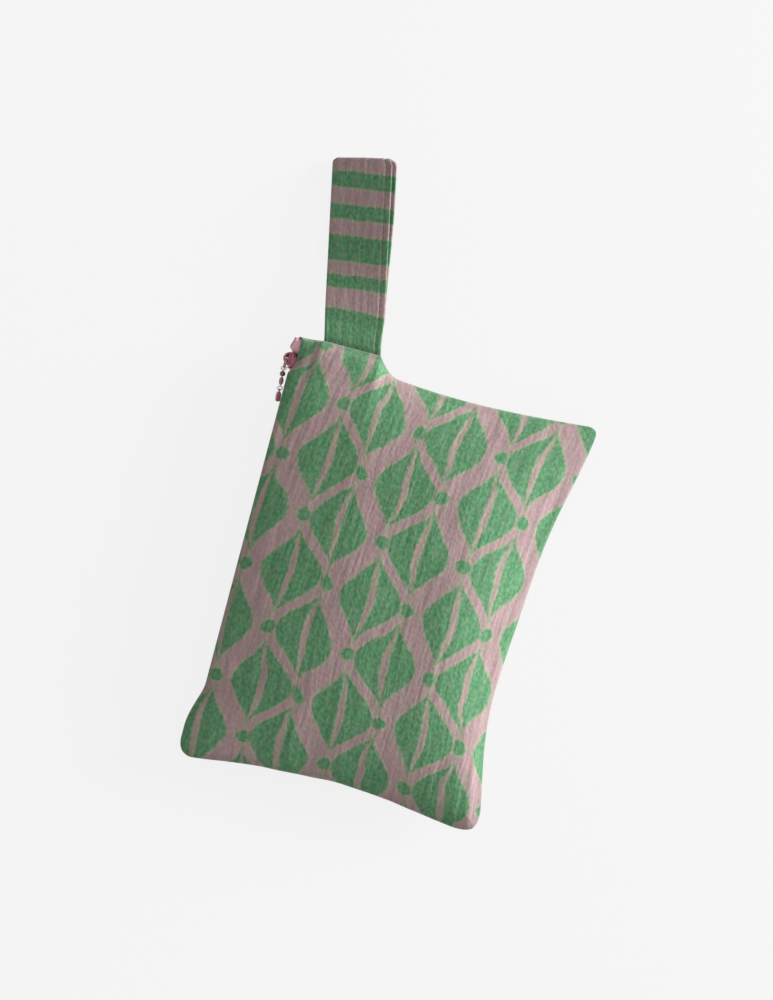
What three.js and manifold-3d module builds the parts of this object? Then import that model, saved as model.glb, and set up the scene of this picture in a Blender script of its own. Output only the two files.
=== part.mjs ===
// A flat sewn zip pouch with a wrist loop and a beaded zip pull, lying on its back.
// Millimetres. X runs from the zip edge to the base seam, Y runs along the zip towards the strap,
// Z is up, and the origin is on the table under the middle of the pouch.
import * as THREE from "three";
import { RoundedBoxGeometry } from "three/addons/geometries/RoundedBoxGeometry.js";
import { mergeVertices } from "three/addons/utils/BufferGeometryUtils.js";
import Module from "manifold-3d";

const { clamp, degToRad, lerp, smoothstep } = THREE.MathUtils;

// Clearance between two pieces that touch.
const FIT = 0.3;

// Pouch: the outline between its four corners, and how far it swells.
const POUCH_WIDTH = 182;
const POUCH_LENGTH = 246;
const FRONT_RISE = 21;
const SEAM_HEIGHT = 13;
const FRONT_FULLNESS = 1;
const BACK_FULLNESS = 1.5;
const CLOTH = 1.2;
const LINING = 0.8;

// The edges draw in between the corners, and the corners stand out of the plain rectangle.
const ZIP_DRAW_IN = 4.4;
const ZIP_CORNER_FLARE = 3;
const FLARE_RUN = 36;
const BASE_DRAW_IN = 13;
const BASE_BOW_SKEW = 1.2;
const BASE_BOW_POWER = 1.3;
const BASE_LEAN = 4;
const STRAP_EDGE_LEAN = 4;
const STRAP_EDGE_DRAW_IN = 5.5;
const FAR_EDGE_DROP = 4.5;
const FAR_EDGE_DRAW_IN = 8;
const CORNER_RADIUS = 5.5;
const LIP_REACH = 54;

// Wrist strap: a folded loop, sewn into the end seam next to the zip.
const STRAP_WIDTH = 34.5;
const STRAP_LENGTH = 111;
const STRAP_PLY = 1.8;
const STRAP_FROM_ZIP = 14.25;
const STRAP_SEAM_RISE = 6.4;
const STRAP_SHOULDER = 7;
const STRAP_SHOULDER_MARGIN = 0.8;
const STRAP_LEAN = degToRad(12);
const STRAP_TURN_RUN = 30;
const STRAP_DROOP_RUN = 62;
const STRAP_SEWN_RUN = 12;
const LOOP_BOW = 7;
const TAIL_LENGTH = 6.5;
const TAIL_SWELL_FROM = 0.8;

// Zip: a coil zip whose teeth stand on the outside of two tapes, set in a mouth that faces out and up.
const ZIP_TILT = degToRad(10);
const ZIP_LENGTH = 200;
const TOP_CLOSING = 1.5;
const END_CLOSING = 14;
const CORNER_SETBACK = 5;
const TAPE = 0.8;
const TAPE_EDGE = 1.3;
const TAPE_TUCK = 3.6;
const TOOTH_PITCH = 2;
const TOOTH_HEAD = 0.8;
const TOOTH_NECK = 0.6;
const TOOTH_HEIGHT = 2;
const TOOTH_BACK = 2.9;
const TOOTH_ROOT = 0.9;
const TOOTH_REACH = 0.7;
const STOP_LENGTH = 2.2;
const STOP_WALL = 1;

// Slider: two wings held apart by a post, with side flanges and an arched crown for the pull.
const SLIDER_LENGTH = 11;
const WING = 1.1;
const FLANGE = 0.9;
const SHOULDER_FLARE = 0.5;
const SLIDER_ROOM = 0.9;
const WING_CORNER = 1.4;
const NOSE_HALF = 1.6;
const NOSE_DIP = 1.2;
const POST_HALF = 0.9;
const POST_LENGTH = 4;
const CROWN_HALF_SPAN = 3.4;
const CROWN_RISE = 4.2;
const CROWN_THICKNESS = 1;
const CROWN_WIDTH = 2;

// Zip pull: a ring through the crown, a wire pin with two beads, and an end tab.
const PULL_DROOP = degToRad(24.5);
const PULL_LEAN = degToRad(7);
const RING_RADIUS = 2.8;
const RING_STRAIGHT = 0.5;
const RING_WIRE = 0.55;
const PIN_WIRE = 0.35;
const PIN_LOOP = 1.4;
const ROUND_BEAD = 3.4;
const OVAL_BEAD_WIDTH = 2.8;
const OVAL_BEAD_LENGTH = 5.4;
const LUG_BRIDGE = 0.6;
const LUG_THICKNESS = 0.8;
const TAB_THICKNESS = 3.2;
const TAB_WIDTH = 4.2;
const TAB_LENGTH = 5.6;
const TAB_EDGE = 0.7;

// Facets on round pieces, and stations of the cloth between its corners.
const WIRE_SIDES = 8;
const RING_STEPS = 16;
const BEAD_STEPS = 14;
const BEAD_ROWS = 8;
const STRAP_STEPS = 14;
const FOLD_STEPS = 6;
const CURVE_STEPS = 6;
const ROUND_STEPS = 2;
const EDGE_STEPS = 5;
const MOUTH_STEPS = 7;
const FAR_CORNER_ROWS = [-0.97, -0.87];
const WELD = 1e-4;

// Lines and planes that several pieces share.
const halfWidth = POUCH_WIDTH / 2;
const halfLength = POUCH_LENGTH / 2;
const zipLine = -halfWidth + ZIP_DRAW_IN;
const strapCorner = halfLength + STRAP_EDGE_LEAN;
const farCorner = -halfLength - FAR_EDGE_DROP;
const tapeDepth = CLOTH + FIT;
const liningDepth = tapeDepth + TAPE + FIT;
const rearHalf = TOOTH_BACK + FIT + FLANGE;
const shoulderHalf = rearHalf + SHOULDER_FLARE;
const mouthHalf = shoulderHalf + SLIDER_ROOM;
const zipTop = strapCorner - TOP_CLOSING;
const zipEnd = zipTop - ZIP_LENGTH;
const topStopEnd = zipTop - liningDepth - LINING - FIT;
const sliderY = topStopEnd - STOP_LENGTH - FIT - SLIDER_LENGTH / 2;
const bottomStopY = zipEnd + STOP_LENGTH / 2 + FIT;
const teethFace = FIT + TOOTH_HEIGHT;
const wingFace = teethFace + FIT + WING;
const barHeight = wingFace + FIT + PIN_LOOP + PIN_WIRE;
const ringReach = 2 * RING_RADIUS + RING_STRAIGHT;
const strapHalf = STRAP_WIDTH / 2;
const strapX = zipLine + STRAP_FROM_ZIP + strapHalf;
const strapStack = 2 * STRAP_PLY + FIT;
const strapSeam = halfLength + STRAP_SEAM_RISE;
const strapHinge = strapSeam + FIT + strapStack / 2;
const shoulderStart = strapHalf + STRAP_SHOULDER_MARGIN;

const wasm = await Module();
wasm.setup();

// Colours and finishes.
function finish(color, roughness, metalness = 0) {
  return new THREE.MeshStandardMaterial({ color, roughness, metalness });
}

const printedCloth = () => finish(0xb8919a, 0.9);
const greenCloth = () => finish(0x549a68, 0.9);
const liningCloth = () => finish(0xc9a7ae, 0.85);
const zipTapeCloth = () => finish(0xb06a78, 0.8);
const coilNylon = () => finish(0xa85f6e, 0.45);
const pinkLacquer = () => finish(0xb4707e, 0.35, 0.2);
const brightWire = () => finish(0xd6d3d0, 0.25, 1);

function solidOf(geometry) {
  const bare = geometry.clone();
  bare.deleteAttribute("normal");
  bare.deleteAttribute("uv");
  const merged = mergeVertices(bare, WELD);
  const vertProperties = new Float32Array(merged.attributes.position.array);
  const triVerts = new Uint32Array(merged.index.array);
  return new wasm.Manifold(new wasm.Mesh({ numProp: 3, vertProperties, triVerts }));
}

function joined(...geometries) {
  const solid = geometries.map(solidOf).reduce((whole, piece) => whole.add(piece));
  const mesh = solid.getMesh();
  const geometry = new THREE.BufferGeometry();
  geometry.setAttribute("position", new THREE.BufferAttribute(mesh.vertProperties, 3));
  geometry.setIndex(new THREE.BufferAttribute(mesh.triVerts, 1));
  return geometry;
}

function named(name, geometry, material) {
  const mesh = new THREE.Mesh(geometry, material);
  mesh.name = name;
  return mesh;
}

// Extrudes an outline drawn in the plane of two axes along the third, between two places on it.
function extruded(shape, axes, from, to) {
  const run = { depth: to - from, bevelEnabled: false, curveSegments: CURVE_STEPS };
  const geometry = new THREE.ExtrudeGeometry(shape, run);
  geometry.translate(0, 0, from);
  return geometry.applyMatrix4(new THREE.Matrix4().makeBasis(...axes));
}

const AXIS_X = new THREE.Vector3(1, 0, 0);
const AXIS_Y = new THREE.Vector3(0, 1, 0);
const AXIS_Z = new THREE.Vector3(0, 0, 1);
const FACING_OUT = [AXIS_Y, AXIS_Z, AXIS_X];
const STANDING_OUT = [AXIS_Y, AXIS_X.clone().negate(), AXIS_Z];
const ALONG_ZIP = [AXIS_Z, AXIS_X, AXIS_Y];

// A link with round ends: a torus parted in the middle, its straight rails along Y.
function roundLink(radius, wire, straight) {
  const geometry = new THREE.TorusGeometry(radius, wire, WIRE_SIDES, RING_STEPS);
  geometry.rotateZ(Math.PI / RING_STEPS);
  const position = geometry.attributes.position;
  for (let i = 0; i < position.count; i += 1) {
    position.setY(i, position.getY(i) + (Math.sign(position.getY(i)) * straight) / 2);
  }
  return geometry;
}

// Outline of the pouch. Shares run from 0 at the zip to 1 at the base, or from the strap to the far end.
const widthShare = (x) => clamp((x - zipLine) / (halfWidth - zipLine), 0, 1);

function nearStrap(x) {
  return 1 - smoothstep(Math.abs(x - strapX), shoulderStart, shoulderStart + STRAP_SHOULDER);
}

function strapEdge(x) {
  const share = widthShare(x);
  const chord = halfLength + lerp(STRAP_EDGE_LEAN, -STRAP_EDGE_LEAN, share);
  return chord - STRAP_EDGE_DRAW_IN * Math.sin(Math.PI * share);
}

function farEdge(x) {
  return farCorner + FAR_EDGE_DRAW_IN * Math.sin(Math.PI * widthShare(x));
}

function baseEdge(v) {
  const share = (1 - v) / 2;
  const bow = Math.pow(Math.sin(Math.PI * Math.pow(share, BASE_BOW_SKEW)), BASE_BOW_POWER);
  return halfWidth + lerp(BASE_LEAN, -BASE_LEAN, share) - BASE_DRAW_IN * bow;
}

const alongZip = (v) => lerp(farCorner, strapCorner, (1 + v) / 2);
const zipStation = (y) => (2 * (y - farCorner)) / (strapCorner - farCorner) - 1;

// How far the mouth is open: 1 along the zip, 0 where the two panels are sewn together.
function mouthOpening(y) {
  return (1 - smoothstep(y, zipTop, strapCorner)) * smoothstep(y, zipEnd - END_CLOSING, zipEnd);
}

// The line that the zip follows, which flares out to the far corner.
function zipCourse(y) {
  return zipLine - (ZIP_DRAW_IN + ZIP_CORNER_FLARE) * smoothstep(zipEnd - y, 0, FLARE_RUN);
}

// The zip edge of the front (side 1) or back (side -1), which leans back with the zip.
function zipEdge(side, y) {
  const lean = side * mouthHalf * Math.sin(ZIP_TILT) * mouthOpening(y);
  const setback = side > 0 ? CORNER_SETBACK * smoothstep(y, zipTop, strapCorner) : 0;
  return zipCourse(y) + lean + setback;
}

// How far a round corner moves a point that lies dx and dy inside the two edges: each ring of points
// parallel to the edges gets an arc of 45 degrees on either side of its own corner.
function cornerShift(dx, dy) {
  const ring = Math.min(dx, dy);
  const radius = CORNER_RADIUS - ring;
  const along = Math.max(dx, dy) - ring;
  if (along >= radius) return [0, 0];
  const angle = (Math.PI / 4) * (1 - along / radius);
  const forward = radius * (1 - Math.sin(angle)) - along;
  const inward = radius * (1 - Math.cos(angle));
  return dx > dy ? [forward, inward] : [inward, forward];
}

// A point on a layer of cloth, depth inside the outer face. u runs from the zip to the base seam and v
// from the far seam to the strap seam, both from -1 to 1. The layer swells as a pillow does, with the
// square root of (1 - u^2)(1 - v^2), and the back is pressed flat on the table.
function clothPoint(side, u, v, depth, holdsStrap) {
  const y0 = alongZip(v);
  let x = lerp(zipEdge(side, y0) + depth, baseEdge(v) - depth, (1 + u) / 2);
  const grip = holdsStrap ? nearStrap(x) : 0;
  const top = lerp(strapEdge(x), strapSeam, grip) - depth;
  let y = lerp(farEdge(x) + depth, top, (1 + v) / 2);
  if (u > 0 || v < 0) {
    const fromSide = (1 - Math.abs(u)) * halfWidth;
    const fromEnd = (1 - Math.abs(v)) * halfLength;
    const [shiftX, shiftY] = cornerShift(fromSide, fromEnd);
    x -= Math.sign(u) * shiftX;
    y -= Math.sign(v) * shiftY;
  }
  const lip = Math.pow(clamp(1 - ((1 + u) * halfWidth) / LIP_REACH, 0, 1), 2);
  const mouth = mouthHalf * Math.cos(ZIP_TILT) * mouthOpening(y0) * lip;
  const tail = (strapStack / 2 + FIT / 2) * grip * smoothstep(v, TAIL_SWELL_FROM, 1);
  const rise = (side > 0 ? FRONT_RISE : SEAM_HEIGHT) - depth;
  const fullness = side > 0 ? FRONT_FULLNESS : BACK_FULLNESS;
  const puff = fullness * Math.sqrt(Math.max(0, (1 - u * u) * (1 - v * v)));
  const height = Math.min(rise, FIT / 2 + mouth + tail + (rise - FIT / 2) * puff);
  return new THREE.Vector3(x, y, SEAM_HEIGHT + side * height);
}

// A closed shell between two grids of points, joined round their rims. Side -1 faces down.
function shellBetween(outer, inner, side) {
  const rows = outer.length;
  const columns = outer[0].length;
  const place = (layer, row, column) => (layer * rows + row) * columns + column;
  const index = [];
  const addTriangle = (a, b, c) => index.push(...(side > 0 ? [a, b, c] : [a, c, b]));
  const addQuad = (a, b, c, d) => {
    addTriangle(a, b, c);
    addTriangle(a, c, d);
  };
  for (let i = 0; i + 1 < rows; i += 1) {
    for (let j = 0; j + 1 < columns; j += 1) {
      addQuad(place(0, i, j), place(0, i, j + 1), place(0, i + 1, j + 1), place(0, i + 1, j));
      addQuad(place(1, i, j), place(1, i + 1, j), place(1, i + 1, j + 1), place(1, i, j + 1));
    }
  }
  const rim = [];
  for (let j = 0; j < columns; j += 1) rim.push([0, j]);
  for (let i = 1; i < rows; i += 1) rim.push([i, columns - 1]);
  for (let j = columns - 2; j >= 0; j -= 1) rim.push([rows - 1, j]);
  for (let i = rows - 2; i > 0; i -= 1) rim.push([i, 0]);
  rim.forEach((here, k) => {
    const next = rim[(k + 1) % rim.length];
    addQuad(place(0, ...next), place(0, ...here), place(1, ...here), place(1, ...next));
  });
  const geometry = new THREE.BufferGeometry();
  const points = [...outer.flat(), ...inner.flat()].flatMap((point) => point.toArray());
  geometry.setAttribute("position", new THREE.Float32BufferAttribute(points, 3));
  geometry.setIndex(index);
  return geometry;
}

// Stations of the grids: close together at the edges, and one at each place where the edge changes.
const spaced = (count, place) => Array.from({ length: count }, (_, step) => place(step));
const edgeShares = spaced(EDGE_STEPS, (step) => Math.sin((Math.PI / 2) * ((step + 1) / EDGE_STEPS)));
const zipShares = edgeShares.slice(0, -1).reverse();
const tuckStation = TAPE_TUCK / halfWidth - 1;

function panelColumns(side) {
  const corner = zipEdge(side, strapCorner);
  const places = [-shoulderStart, 0, shoulderStart, shoulderStart + STRAP_SHOULDER];
  const stations = places.map((place) => (2 * (strapX + place - corner)) / (baseEdge(1) - corner) - 1);
  return [-1, tuckStation, ...stations, 0, ...edgeShares];
}

const liningColumns = [-1, tuckStation, ...zipShares.map((u) => -u), 0, ...edgeShares];
const closedV = zipStation(zipEnd - END_CLOSING);
const endV = zipStation(zipEnd);
const topV = zipStation(zipTop);
const mouthStations = spaced(MOUTH_STEPS + 2, (step) => lerp(endV, topV, step / (MOUTH_STEPS + 1)));
const mouthRows = [closedV, (closedV + endV) / 2, ...mouthStations, (topV + 1) / 2];
const clothRows = [-1, ...FAR_CORNER_ROWS, ...mouthRows, 1];

function clothShell(side, depth, thickness, columns, holdsStrap) {
  const row = (v, inset) => columns.map((u) => clothPoint(side, u, v, inset, holdsStrap));
  const layer = (inset) => clothRows.map((v) => row(v, inset));
  return shellBetween(layer(depth), layer(depth + thickness), side);
}

// A zip tape: a flat band from its free edge to the mouth, then tucked in behind the panel.
function tapeShell(side) {
  const rows = mouthRows.slice(1);
  const layer = (depth) =>
    rows.map((v) => {
      const reach = side * TAPE_EDGE * mouthOpening(alongZip(v));
      const rim = clothPoint(side, -1, v, depth, true);
      const edgeX = zipCourse(alongZip(v)) + depth + reach * Math.sin(ZIP_TILT);
      const edge = new THREE.Vector3(edgeX, rim.y, SEAM_HEIGHT + reach * Math.cos(ZIP_TILT));
      return [edge, rim, clothPoint(side, tuckStation, v, depth, true)];
    });
  return shellBetween(layer(tapeDepth), layer(tapeDepth + TAPE), side);
}

// One row of teeth as a comb that meshes with the other row, half a pitch along.
function toothRow(side) {
  const start = sliderY - SLIDER_LENGTH / 2 + POST_LENGTH;
  const end = bottomStopY + STOP_LENGTH / 2 + FIT;
  const count = Math.floor((start - end) / TOOTH_PITCH) - 1;
  const first = start - (side > 0 ? 0.5 : 1) * TOOTH_PITCH;
  const outline = [];
  outline.push(new THREE.Vector2(start, side * TOOTH_BACK), new THREE.Vector2(start, side * TOOTH_ROOT));
  for (let k = 0; k < count; k += 1) {
    const middle = first - k * TOOTH_PITCH;
    outline.push(new THREE.Vector2(middle + TOOTH_NECK / 2, side * TOOTH_ROOT));
    outline.push(new THREE.Vector2(middle + TOOTH_HEAD / 2, -side * TOOTH_REACH));
    outline.push(new THREE.Vector2(middle - TOOTH_HEAD / 2, -side * TOOTH_REACH));
    outline.push(new THREE.Vector2(middle - TOOTH_NECK / 2, side * TOOTH_ROOT));
  }
  outline.push(new THREE.Vector2(end, side * TOOTH_ROOT), new THREE.Vector2(end, side * TOOTH_BACK));
  return extruded(new THREE.Shape(outline), FACING_OUT, -teethFace, -FIT);
}

// A top stop: a small clip folded round the free edge of one tape.
function topStop(side) {
  const web = TAPE_EDGE - FIT;
  const shape = new THREE.Shape();
  shape.moveTo(side * (web - STOP_WALL / 2), -FIT - STOP_WALL);
  shape.lineTo(side * TOOTH_BACK, -FIT - STOP_WALL);
  shape.lineTo(side * TOOTH_BACK, -FIT);
  shape.lineTo(side * web, -FIT);
  shape.lineTo(side * web, TAPE + FIT);
  shape.lineTo(side * TOOTH_BACK, TAPE + FIT);
  shape.lineTo(side * TOOTH_BACK, TAPE + FIT + STOP_WALL);
  shape.lineTo(side * (web - STOP_WALL / 2), TAPE + FIT + STOP_WALL);
  shape.closePath();
  return extruded(shape, ALONG_ZIP, topStopEnd - STOP_LENGTH, topStopEnd);
}

function bottomStop() {
  const round = STOP_LENGTH / 4;
  const geometry = new RoundedBoxGeometry(TOOTH_HEIGHT, STOP_LENGTH, 2 * TOOTH_BACK, ROUND_STEPS, round);
  return geometry.translate(-FIT - TOOTH_HEIGHT / 2, bottomStopY, 0);
}

// Plan of a wing, seen from outside: square at the rear, with two shoulders and a dipped nose.
function wingShape() {
  const half = SLIDER_LENGTH / 2;
  const shape = new THREE.Shape();
  shape.moveTo(-half + WING_CORNER, -rearHalf);
  shape.lineTo(0, -shoulderHalf);
  shape.quadraticCurveTo(half, -shoulderHalf, half, -NOSE_HALF);
  shape.quadraticCurveTo(half - NOSE_DIP, 0, half, NOSE_HALF);
  shape.quadraticCurveTo(half, shoulderHalf, 0, shoulderHalf);
  shape.lineTo(-half + WING_CORNER, rearHalf);
  shape.quadraticCurveTo(-half, rearHalf, -half, rearHalf - WING_CORNER);
  shape.lineTo(-half, -rearHalf + WING_CORNER);
  shape.quadraticCurveTo(-half, -rearHalf, -half + WING_CORNER, -rearHalf);
  return shape;
}

function flangeShape(side) {
  const rear = -SLIDER_LENGTH / 2 + WING_CORNER;
  const shape = new THREE.Shape();
  shape.moveTo(rear, side * (rearHalf - FLANGE));
  shape.lineTo(rear, side * rearHalf);
  shape.lineTo(0, side * shoulderHalf);
  shape.lineTo(0, side * (shoulderHalf - FLANGE));
  shape.closePath();
  return shape;
}

function postShape() {
  const front = SLIDER_LENGTH / 2 - NOSE_DIP;
  const shape = new THREE.Shape();
  shape.moveTo(front - POST_LENGTH, 0);
  shape.lineTo(front - POST_LENGTH / 2, -POST_HALF);
  shape.lineTo(front, 0);
  shape.lineTo(front - POST_LENGTH / 2, POST_HALF);
  shape.closePath();
  return shape;
}

function sliderBody() {
  const outerWing = extruded(wingShape(), FACING_OUT, -wingFace, WING - wingFace);
  const innerWing = extruded(wingShape(), FACING_OUT, TAPE + FIT, TAPE + FIT + WING);
  const post = extruded(postShape(), FACING_OUT, WING / 2 - wingFace, TAPE + FIT + WING / 2);
  const flange = (side) => extruded(flangeShape(side), FACING_OUT, WING / 2 - wingFace, -FIT);
  return joined(outerWing, innerWing, post, flange(-1), flange(1));
}

// The crown: half an elliptic ring, standing on the outer wing over the ring of the pull.
function sliderCrown() {
  const shape = new THREE.Shape();
  const inner = CROWN_HALF_SPAN - CROWN_THICKNESS;
  shape.absellipse(0, 0, CROWN_HALF_SPAN, CROWN_RISE, Math.PI, 0, true);
  shape.lineTo(inner, 0);
  shape.absellipse(0, 0, inner, CROWN_RISE - CROWN_THICKNESS, 0, Math.PI, false);
  shape.closePath();
  const arch = extruded(shape, STANDING_OUT, -CROWN_WIDTH / 2, CROWN_WIDTH / 2);
  return arch.translate(-wingFace - FIT, 0, 0);
}

// Places along the wire pin, measured down from the bottom wire of the ring.
const upperLoopY = -(PIN_LOOP - PIN_WIRE - RING_WIRE - FIT);
const roundBeadY = upperLoopY - PIN_LOOP - PIN_WIRE - FIT - ROUND_BEAD / 2;
const ovalBeadY = roundBeadY - ROUND_BEAD / 2 - FIT - OVAL_BEAD_LENGTH / 2;
const lowerLoopY = ovalBeadY - OVAL_BEAD_LENGTH / 2 - FIT - PIN_WIRE - PIN_LOOP;
const tabWireY = lowerLoopY - PIN_LOOP;

function beadPin() {
  const upperLoop = roundLink(PIN_LOOP, PIN_WIRE, 0).translate(0, upperLoopY, 0);
  const lowerLoop = roundLink(PIN_LOOP, PIN_WIRE, 0).translate(0, lowerLoopY, 0);
  const top = upperLoopY - PIN_LOOP;
  const bottom = lowerLoopY + PIN_LOOP;
  const shank = new THREE.CylinderGeometry(PIN_WIRE, PIN_WIRE, top - bottom, WIRE_SIDES);
  return joined(upperLoop, lowerLoop, shank.translate(0, (top + bottom) / 2, 0));
}

// A bead with a bore for the pin: an ellipse turned about the pin, cut off where it meets the bore.
function bead(width, length, middle) {
  const bore = PIN_WIRE + FIT;
  const reach = Math.acos(bore / (width / 2));
  const profile = spaced(BEAD_ROWS + 1, (step) => {
    const angle = lerp(-reach, reach, step / BEAD_ROWS);
    return new THREE.Vector2((width / 2) * Math.cos(angle), (length / 2) * Math.sin(angle));
  });
  profile.push(profile[0].clone());
  return new THREE.LatheGeometry(profile, BEAD_STEPS).translate(0, middle, 0);
}

// The end tab: a rounded block under a flat lug, which the lower loop of the pin passes through.
function pullTab() {
  const hole = PIN_WIRE + FIT + FIT / 3;
  const holeY = -FIT / 3;
  const lugHalf = hole + LUG_BRIDGE;
  const blockTop = holeY - lugHalf;
  const shape = new THREE.Shape();
  shape.absarc(holeY, 0, lugHalf, -Math.PI / 2, Math.PI / 2, false);
  shape.lineTo(blockTop - TAB_EDGE, lugHalf);
  shape.lineTo(blockTop - TAB_EDGE, -lugHalf);
  shape.closePath();
  shape.holes.push(new THREE.Path().absarc(holeY, 0, hole, 0, 2 * Math.PI, true));
  const lug = extruded(shape, FACING_OUT, -LUG_THICKNESS / 2, LUG_THICKNESS / 2);
  const block = new RoundedBoxGeometry(TAB_THICKNESS, TAB_LENGTH, TAB_WIDTH, ROUND_STEPS, TAB_EDGE);
  return joined(lug, block.translate(0, blockTop - TAB_LENGTH / 2, 0));
}

// The strap seen from the side: two plies that leave the seam together, bow apart and meet in the fold,
// and that droop from the height of the seam to the table. The base end is round, about the hinge line.
function strapProfile() {
  const half = strapStack / 2;
  const tip = STRAP_LENGTH - half;
  const along = spaced(STRAP_STEPS + 1, (step) => (tip * step) / STRAP_STEPS);
  const lower = (a) => lerp(-half, -SEAM_HEIGHT, smoothstep(a, 0, STRAP_DROOP_RUN));
  const freeShare = (a) => clamp((a - STRAP_SEWN_RUN) / (tip - STRAP_SEWN_RUN), 0, 1);
  const upper = (a) => lower(a) + strapStack + LOOP_BOW * Math.sin(Math.PI * freeShare(a));
  const roundEnd = (middle, level, start) =>
    spaced(FOLD_STEPS - 1, (step) => {
      const angle = start - (Math.PI * (step + 1)) / FOLD_STEPS;
      return new THREE.Vector2(middle + half * Math.cos(angle), level + half * Math.sin(angle));
    });
  const top = along.map((a) => new THREE.Vector2(a, upper(a)));
  const bottom = along.map((a) => new THREE.Vector2(a, lower(a))).reverse();
  const fold = roundEnd(tip, lower(tip) + half, Math.PI / 2);
  const base = roundEnd(0, 0, -Math.PI / 2);
  const shape = new THREE.Shape([...top, ...fold, ...bottom, ...base]);
  const inside = along.filter((a) => a > STRAP_SEWN_RUN);
  const floor = inside.map((a) => new THREE.Vector2(a, lower(a) + STRAP_PLY));
  const ceiling = inside.map((a) => new THREE.Vector2(a, upper(a) - STRAP_PLY)).reverse();
  shape.holes.push(new THREE.Path([...floor, ...ceiling]));
  return shape;
}

// The strap leaves square to the seam and turns, within a short run, to lean over the zip corner.
function wristStrap() {
  const run = { depth: STRAP_WIDTH, bevelEnabled: false };
  const geometry = new THREE.ExtrudeGeometry(strapProfile(), run);
  const position = geometry.attributes.position;
  for (let i = 0; i < position.count; i += 1) {
    const along = position.getX(i);
    const across = position.getZ(i) - strapHalf;
    const turn = STRAP_LEAN * smoothstep(along, 0, STRAP_TURN_RUN);
    const x = strapX - along * Math.sin(STRAP_LEAN) + across * Math.cos(turn);
    const y = strapHinge + along * Math.cos(STRAP_LEAN) + across * Math.sin(turn);
    position.setXYZ(i, x, y, SEAM_HEIGHT + position.getY(i));
  }
  return geometry;
}

// The sewn-in end of the strap, held between the two panels in the end seam.
function strapSewnEnd() {
  const round = STRAP_PLY / 3;
  const geometry = new RoundedBoxGeometry(STRAP_WIDTH, TAIL_LENGTH, strapStack, ROUND_STEPS, round);
  return geometry.translate(strapX, strapSeam - TAIL_LENGTH / 2, SEAM_HEIGHT);
}

// The pouch: two printed panels, a lining behind each, and the strap.
const pouch = new THREE.Group();
pouch.add(named("front_panel", clothShell(1, 0, CLOTH, panelColumns(1), true), printedCloth()));
pouch.add(named("back_panel", clothShell(-1, 0, CLOTH, panelColumns(-1), true), greenCloth()));
pouch.add(named("front_lining", clothShell(1, liningDepth, LINING, liningColumns, false), liningCloth()));
pouch.add(named("back_lining", clothShell(-1, liningDepth, LINING, liningColumns, false), liningCloth()));
pouch.add(named("zip_tape_front", tapeShell(1), zipTapeCloth()));
pouch.add(named("zip_tape_back", tapeShell(-1), zipTapeCloth()));
pouch.add(named("strap_sewn_end", strapSewnEnd(), greenCloth()));
pouch.add(named("wrist_strap", wristStrap(), greenCloth()));

// The zip, in its own frame: local x points into the pouch from the outer face of the tapes.
const zip = new THREE.Group();
zip.position.set(zipLine + tapeDepth, 0, SEAM_HEIGHT);
zip.rotation.y = ZIP_TILT;
zip.add(named("zip_teeth_front", toothRow(1), coilNylon()));
zip.add(named("zip_teeth_back", toothRow(-1), coilNylon()));
zip.add(named("top_stop_front", topStop(1), pinkLacquer()));
zip.add(named("top_stop_back", topStop(-1), pinkLacquer()));
zip.add(named("bottom_stop", bottomStop(), pinkLacquer()));

const slider = new THREE.Group();
slider.position.set(0, sliderY, 0);
slider.add(named("slider_body", sliderBody(), pinkLacquer()));
slider.add(named("slider_crown", sliderCrown(), pinkLacquer()));

// The pull hangs from the bar under the crown, and each group below turns about the wire above it.
const pull = new THREE.Group();
pull.position.set(-barHeight, 0, 0);
pull.rotation.x = PULL_DROOP;
const ring = roundLink(RING_RADIUS, RING_WIRE, RING_STRAIGHT).rotateY(Math.PI / 2);
pull.add(named("pull_ring", ring.translate(0, -ringReach / 2, 0), pinkLacquer()));

const beads = new THREE.Group();
beads.position.set(0, -ringReach, 0);
beads.rotation.z = PULL_LEAN;
beads.add(named("bead_pin", beadPin(), brightWire()));
beads.add(named("round_bead", bead(ROUND_BEAD, ROUND_BEAD, roundBeadY), pinkLacquer()));
beads.add(named("oval_bead", bead(OVAL_BEAD_WIDTH, OVAL_BEAD_LENGTH, ovalBeadY), pinkLacquer()));

const tab = new THREE.Group();
tab.position.set(0, tabWireY, 0);
tab.add(named("pull_tab", pullTab(), pinkLacquer()));

beads.add(tab);
pull.add(beads);
slider.add(pull);
zip.add(slider);
pouch.add(zip);

export default pouch;
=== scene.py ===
"""Looks of a flat zip clutch: printed cotton gauze panels, a folded wrist strap and a beaded zip pull.

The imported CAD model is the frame. Shapes are worked out in its millimetres and written to meshes in
metres. X runs from the zip to the base seam, Y along the zip towards the strap, Z up from the table.
"""

import logging
import math
from collections.abc import Sequence
from dataclasses import dataclass, field, replace
from enum import Enum

import bpy
import numpy as np
from mathutils import Matrix, Vector


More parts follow.
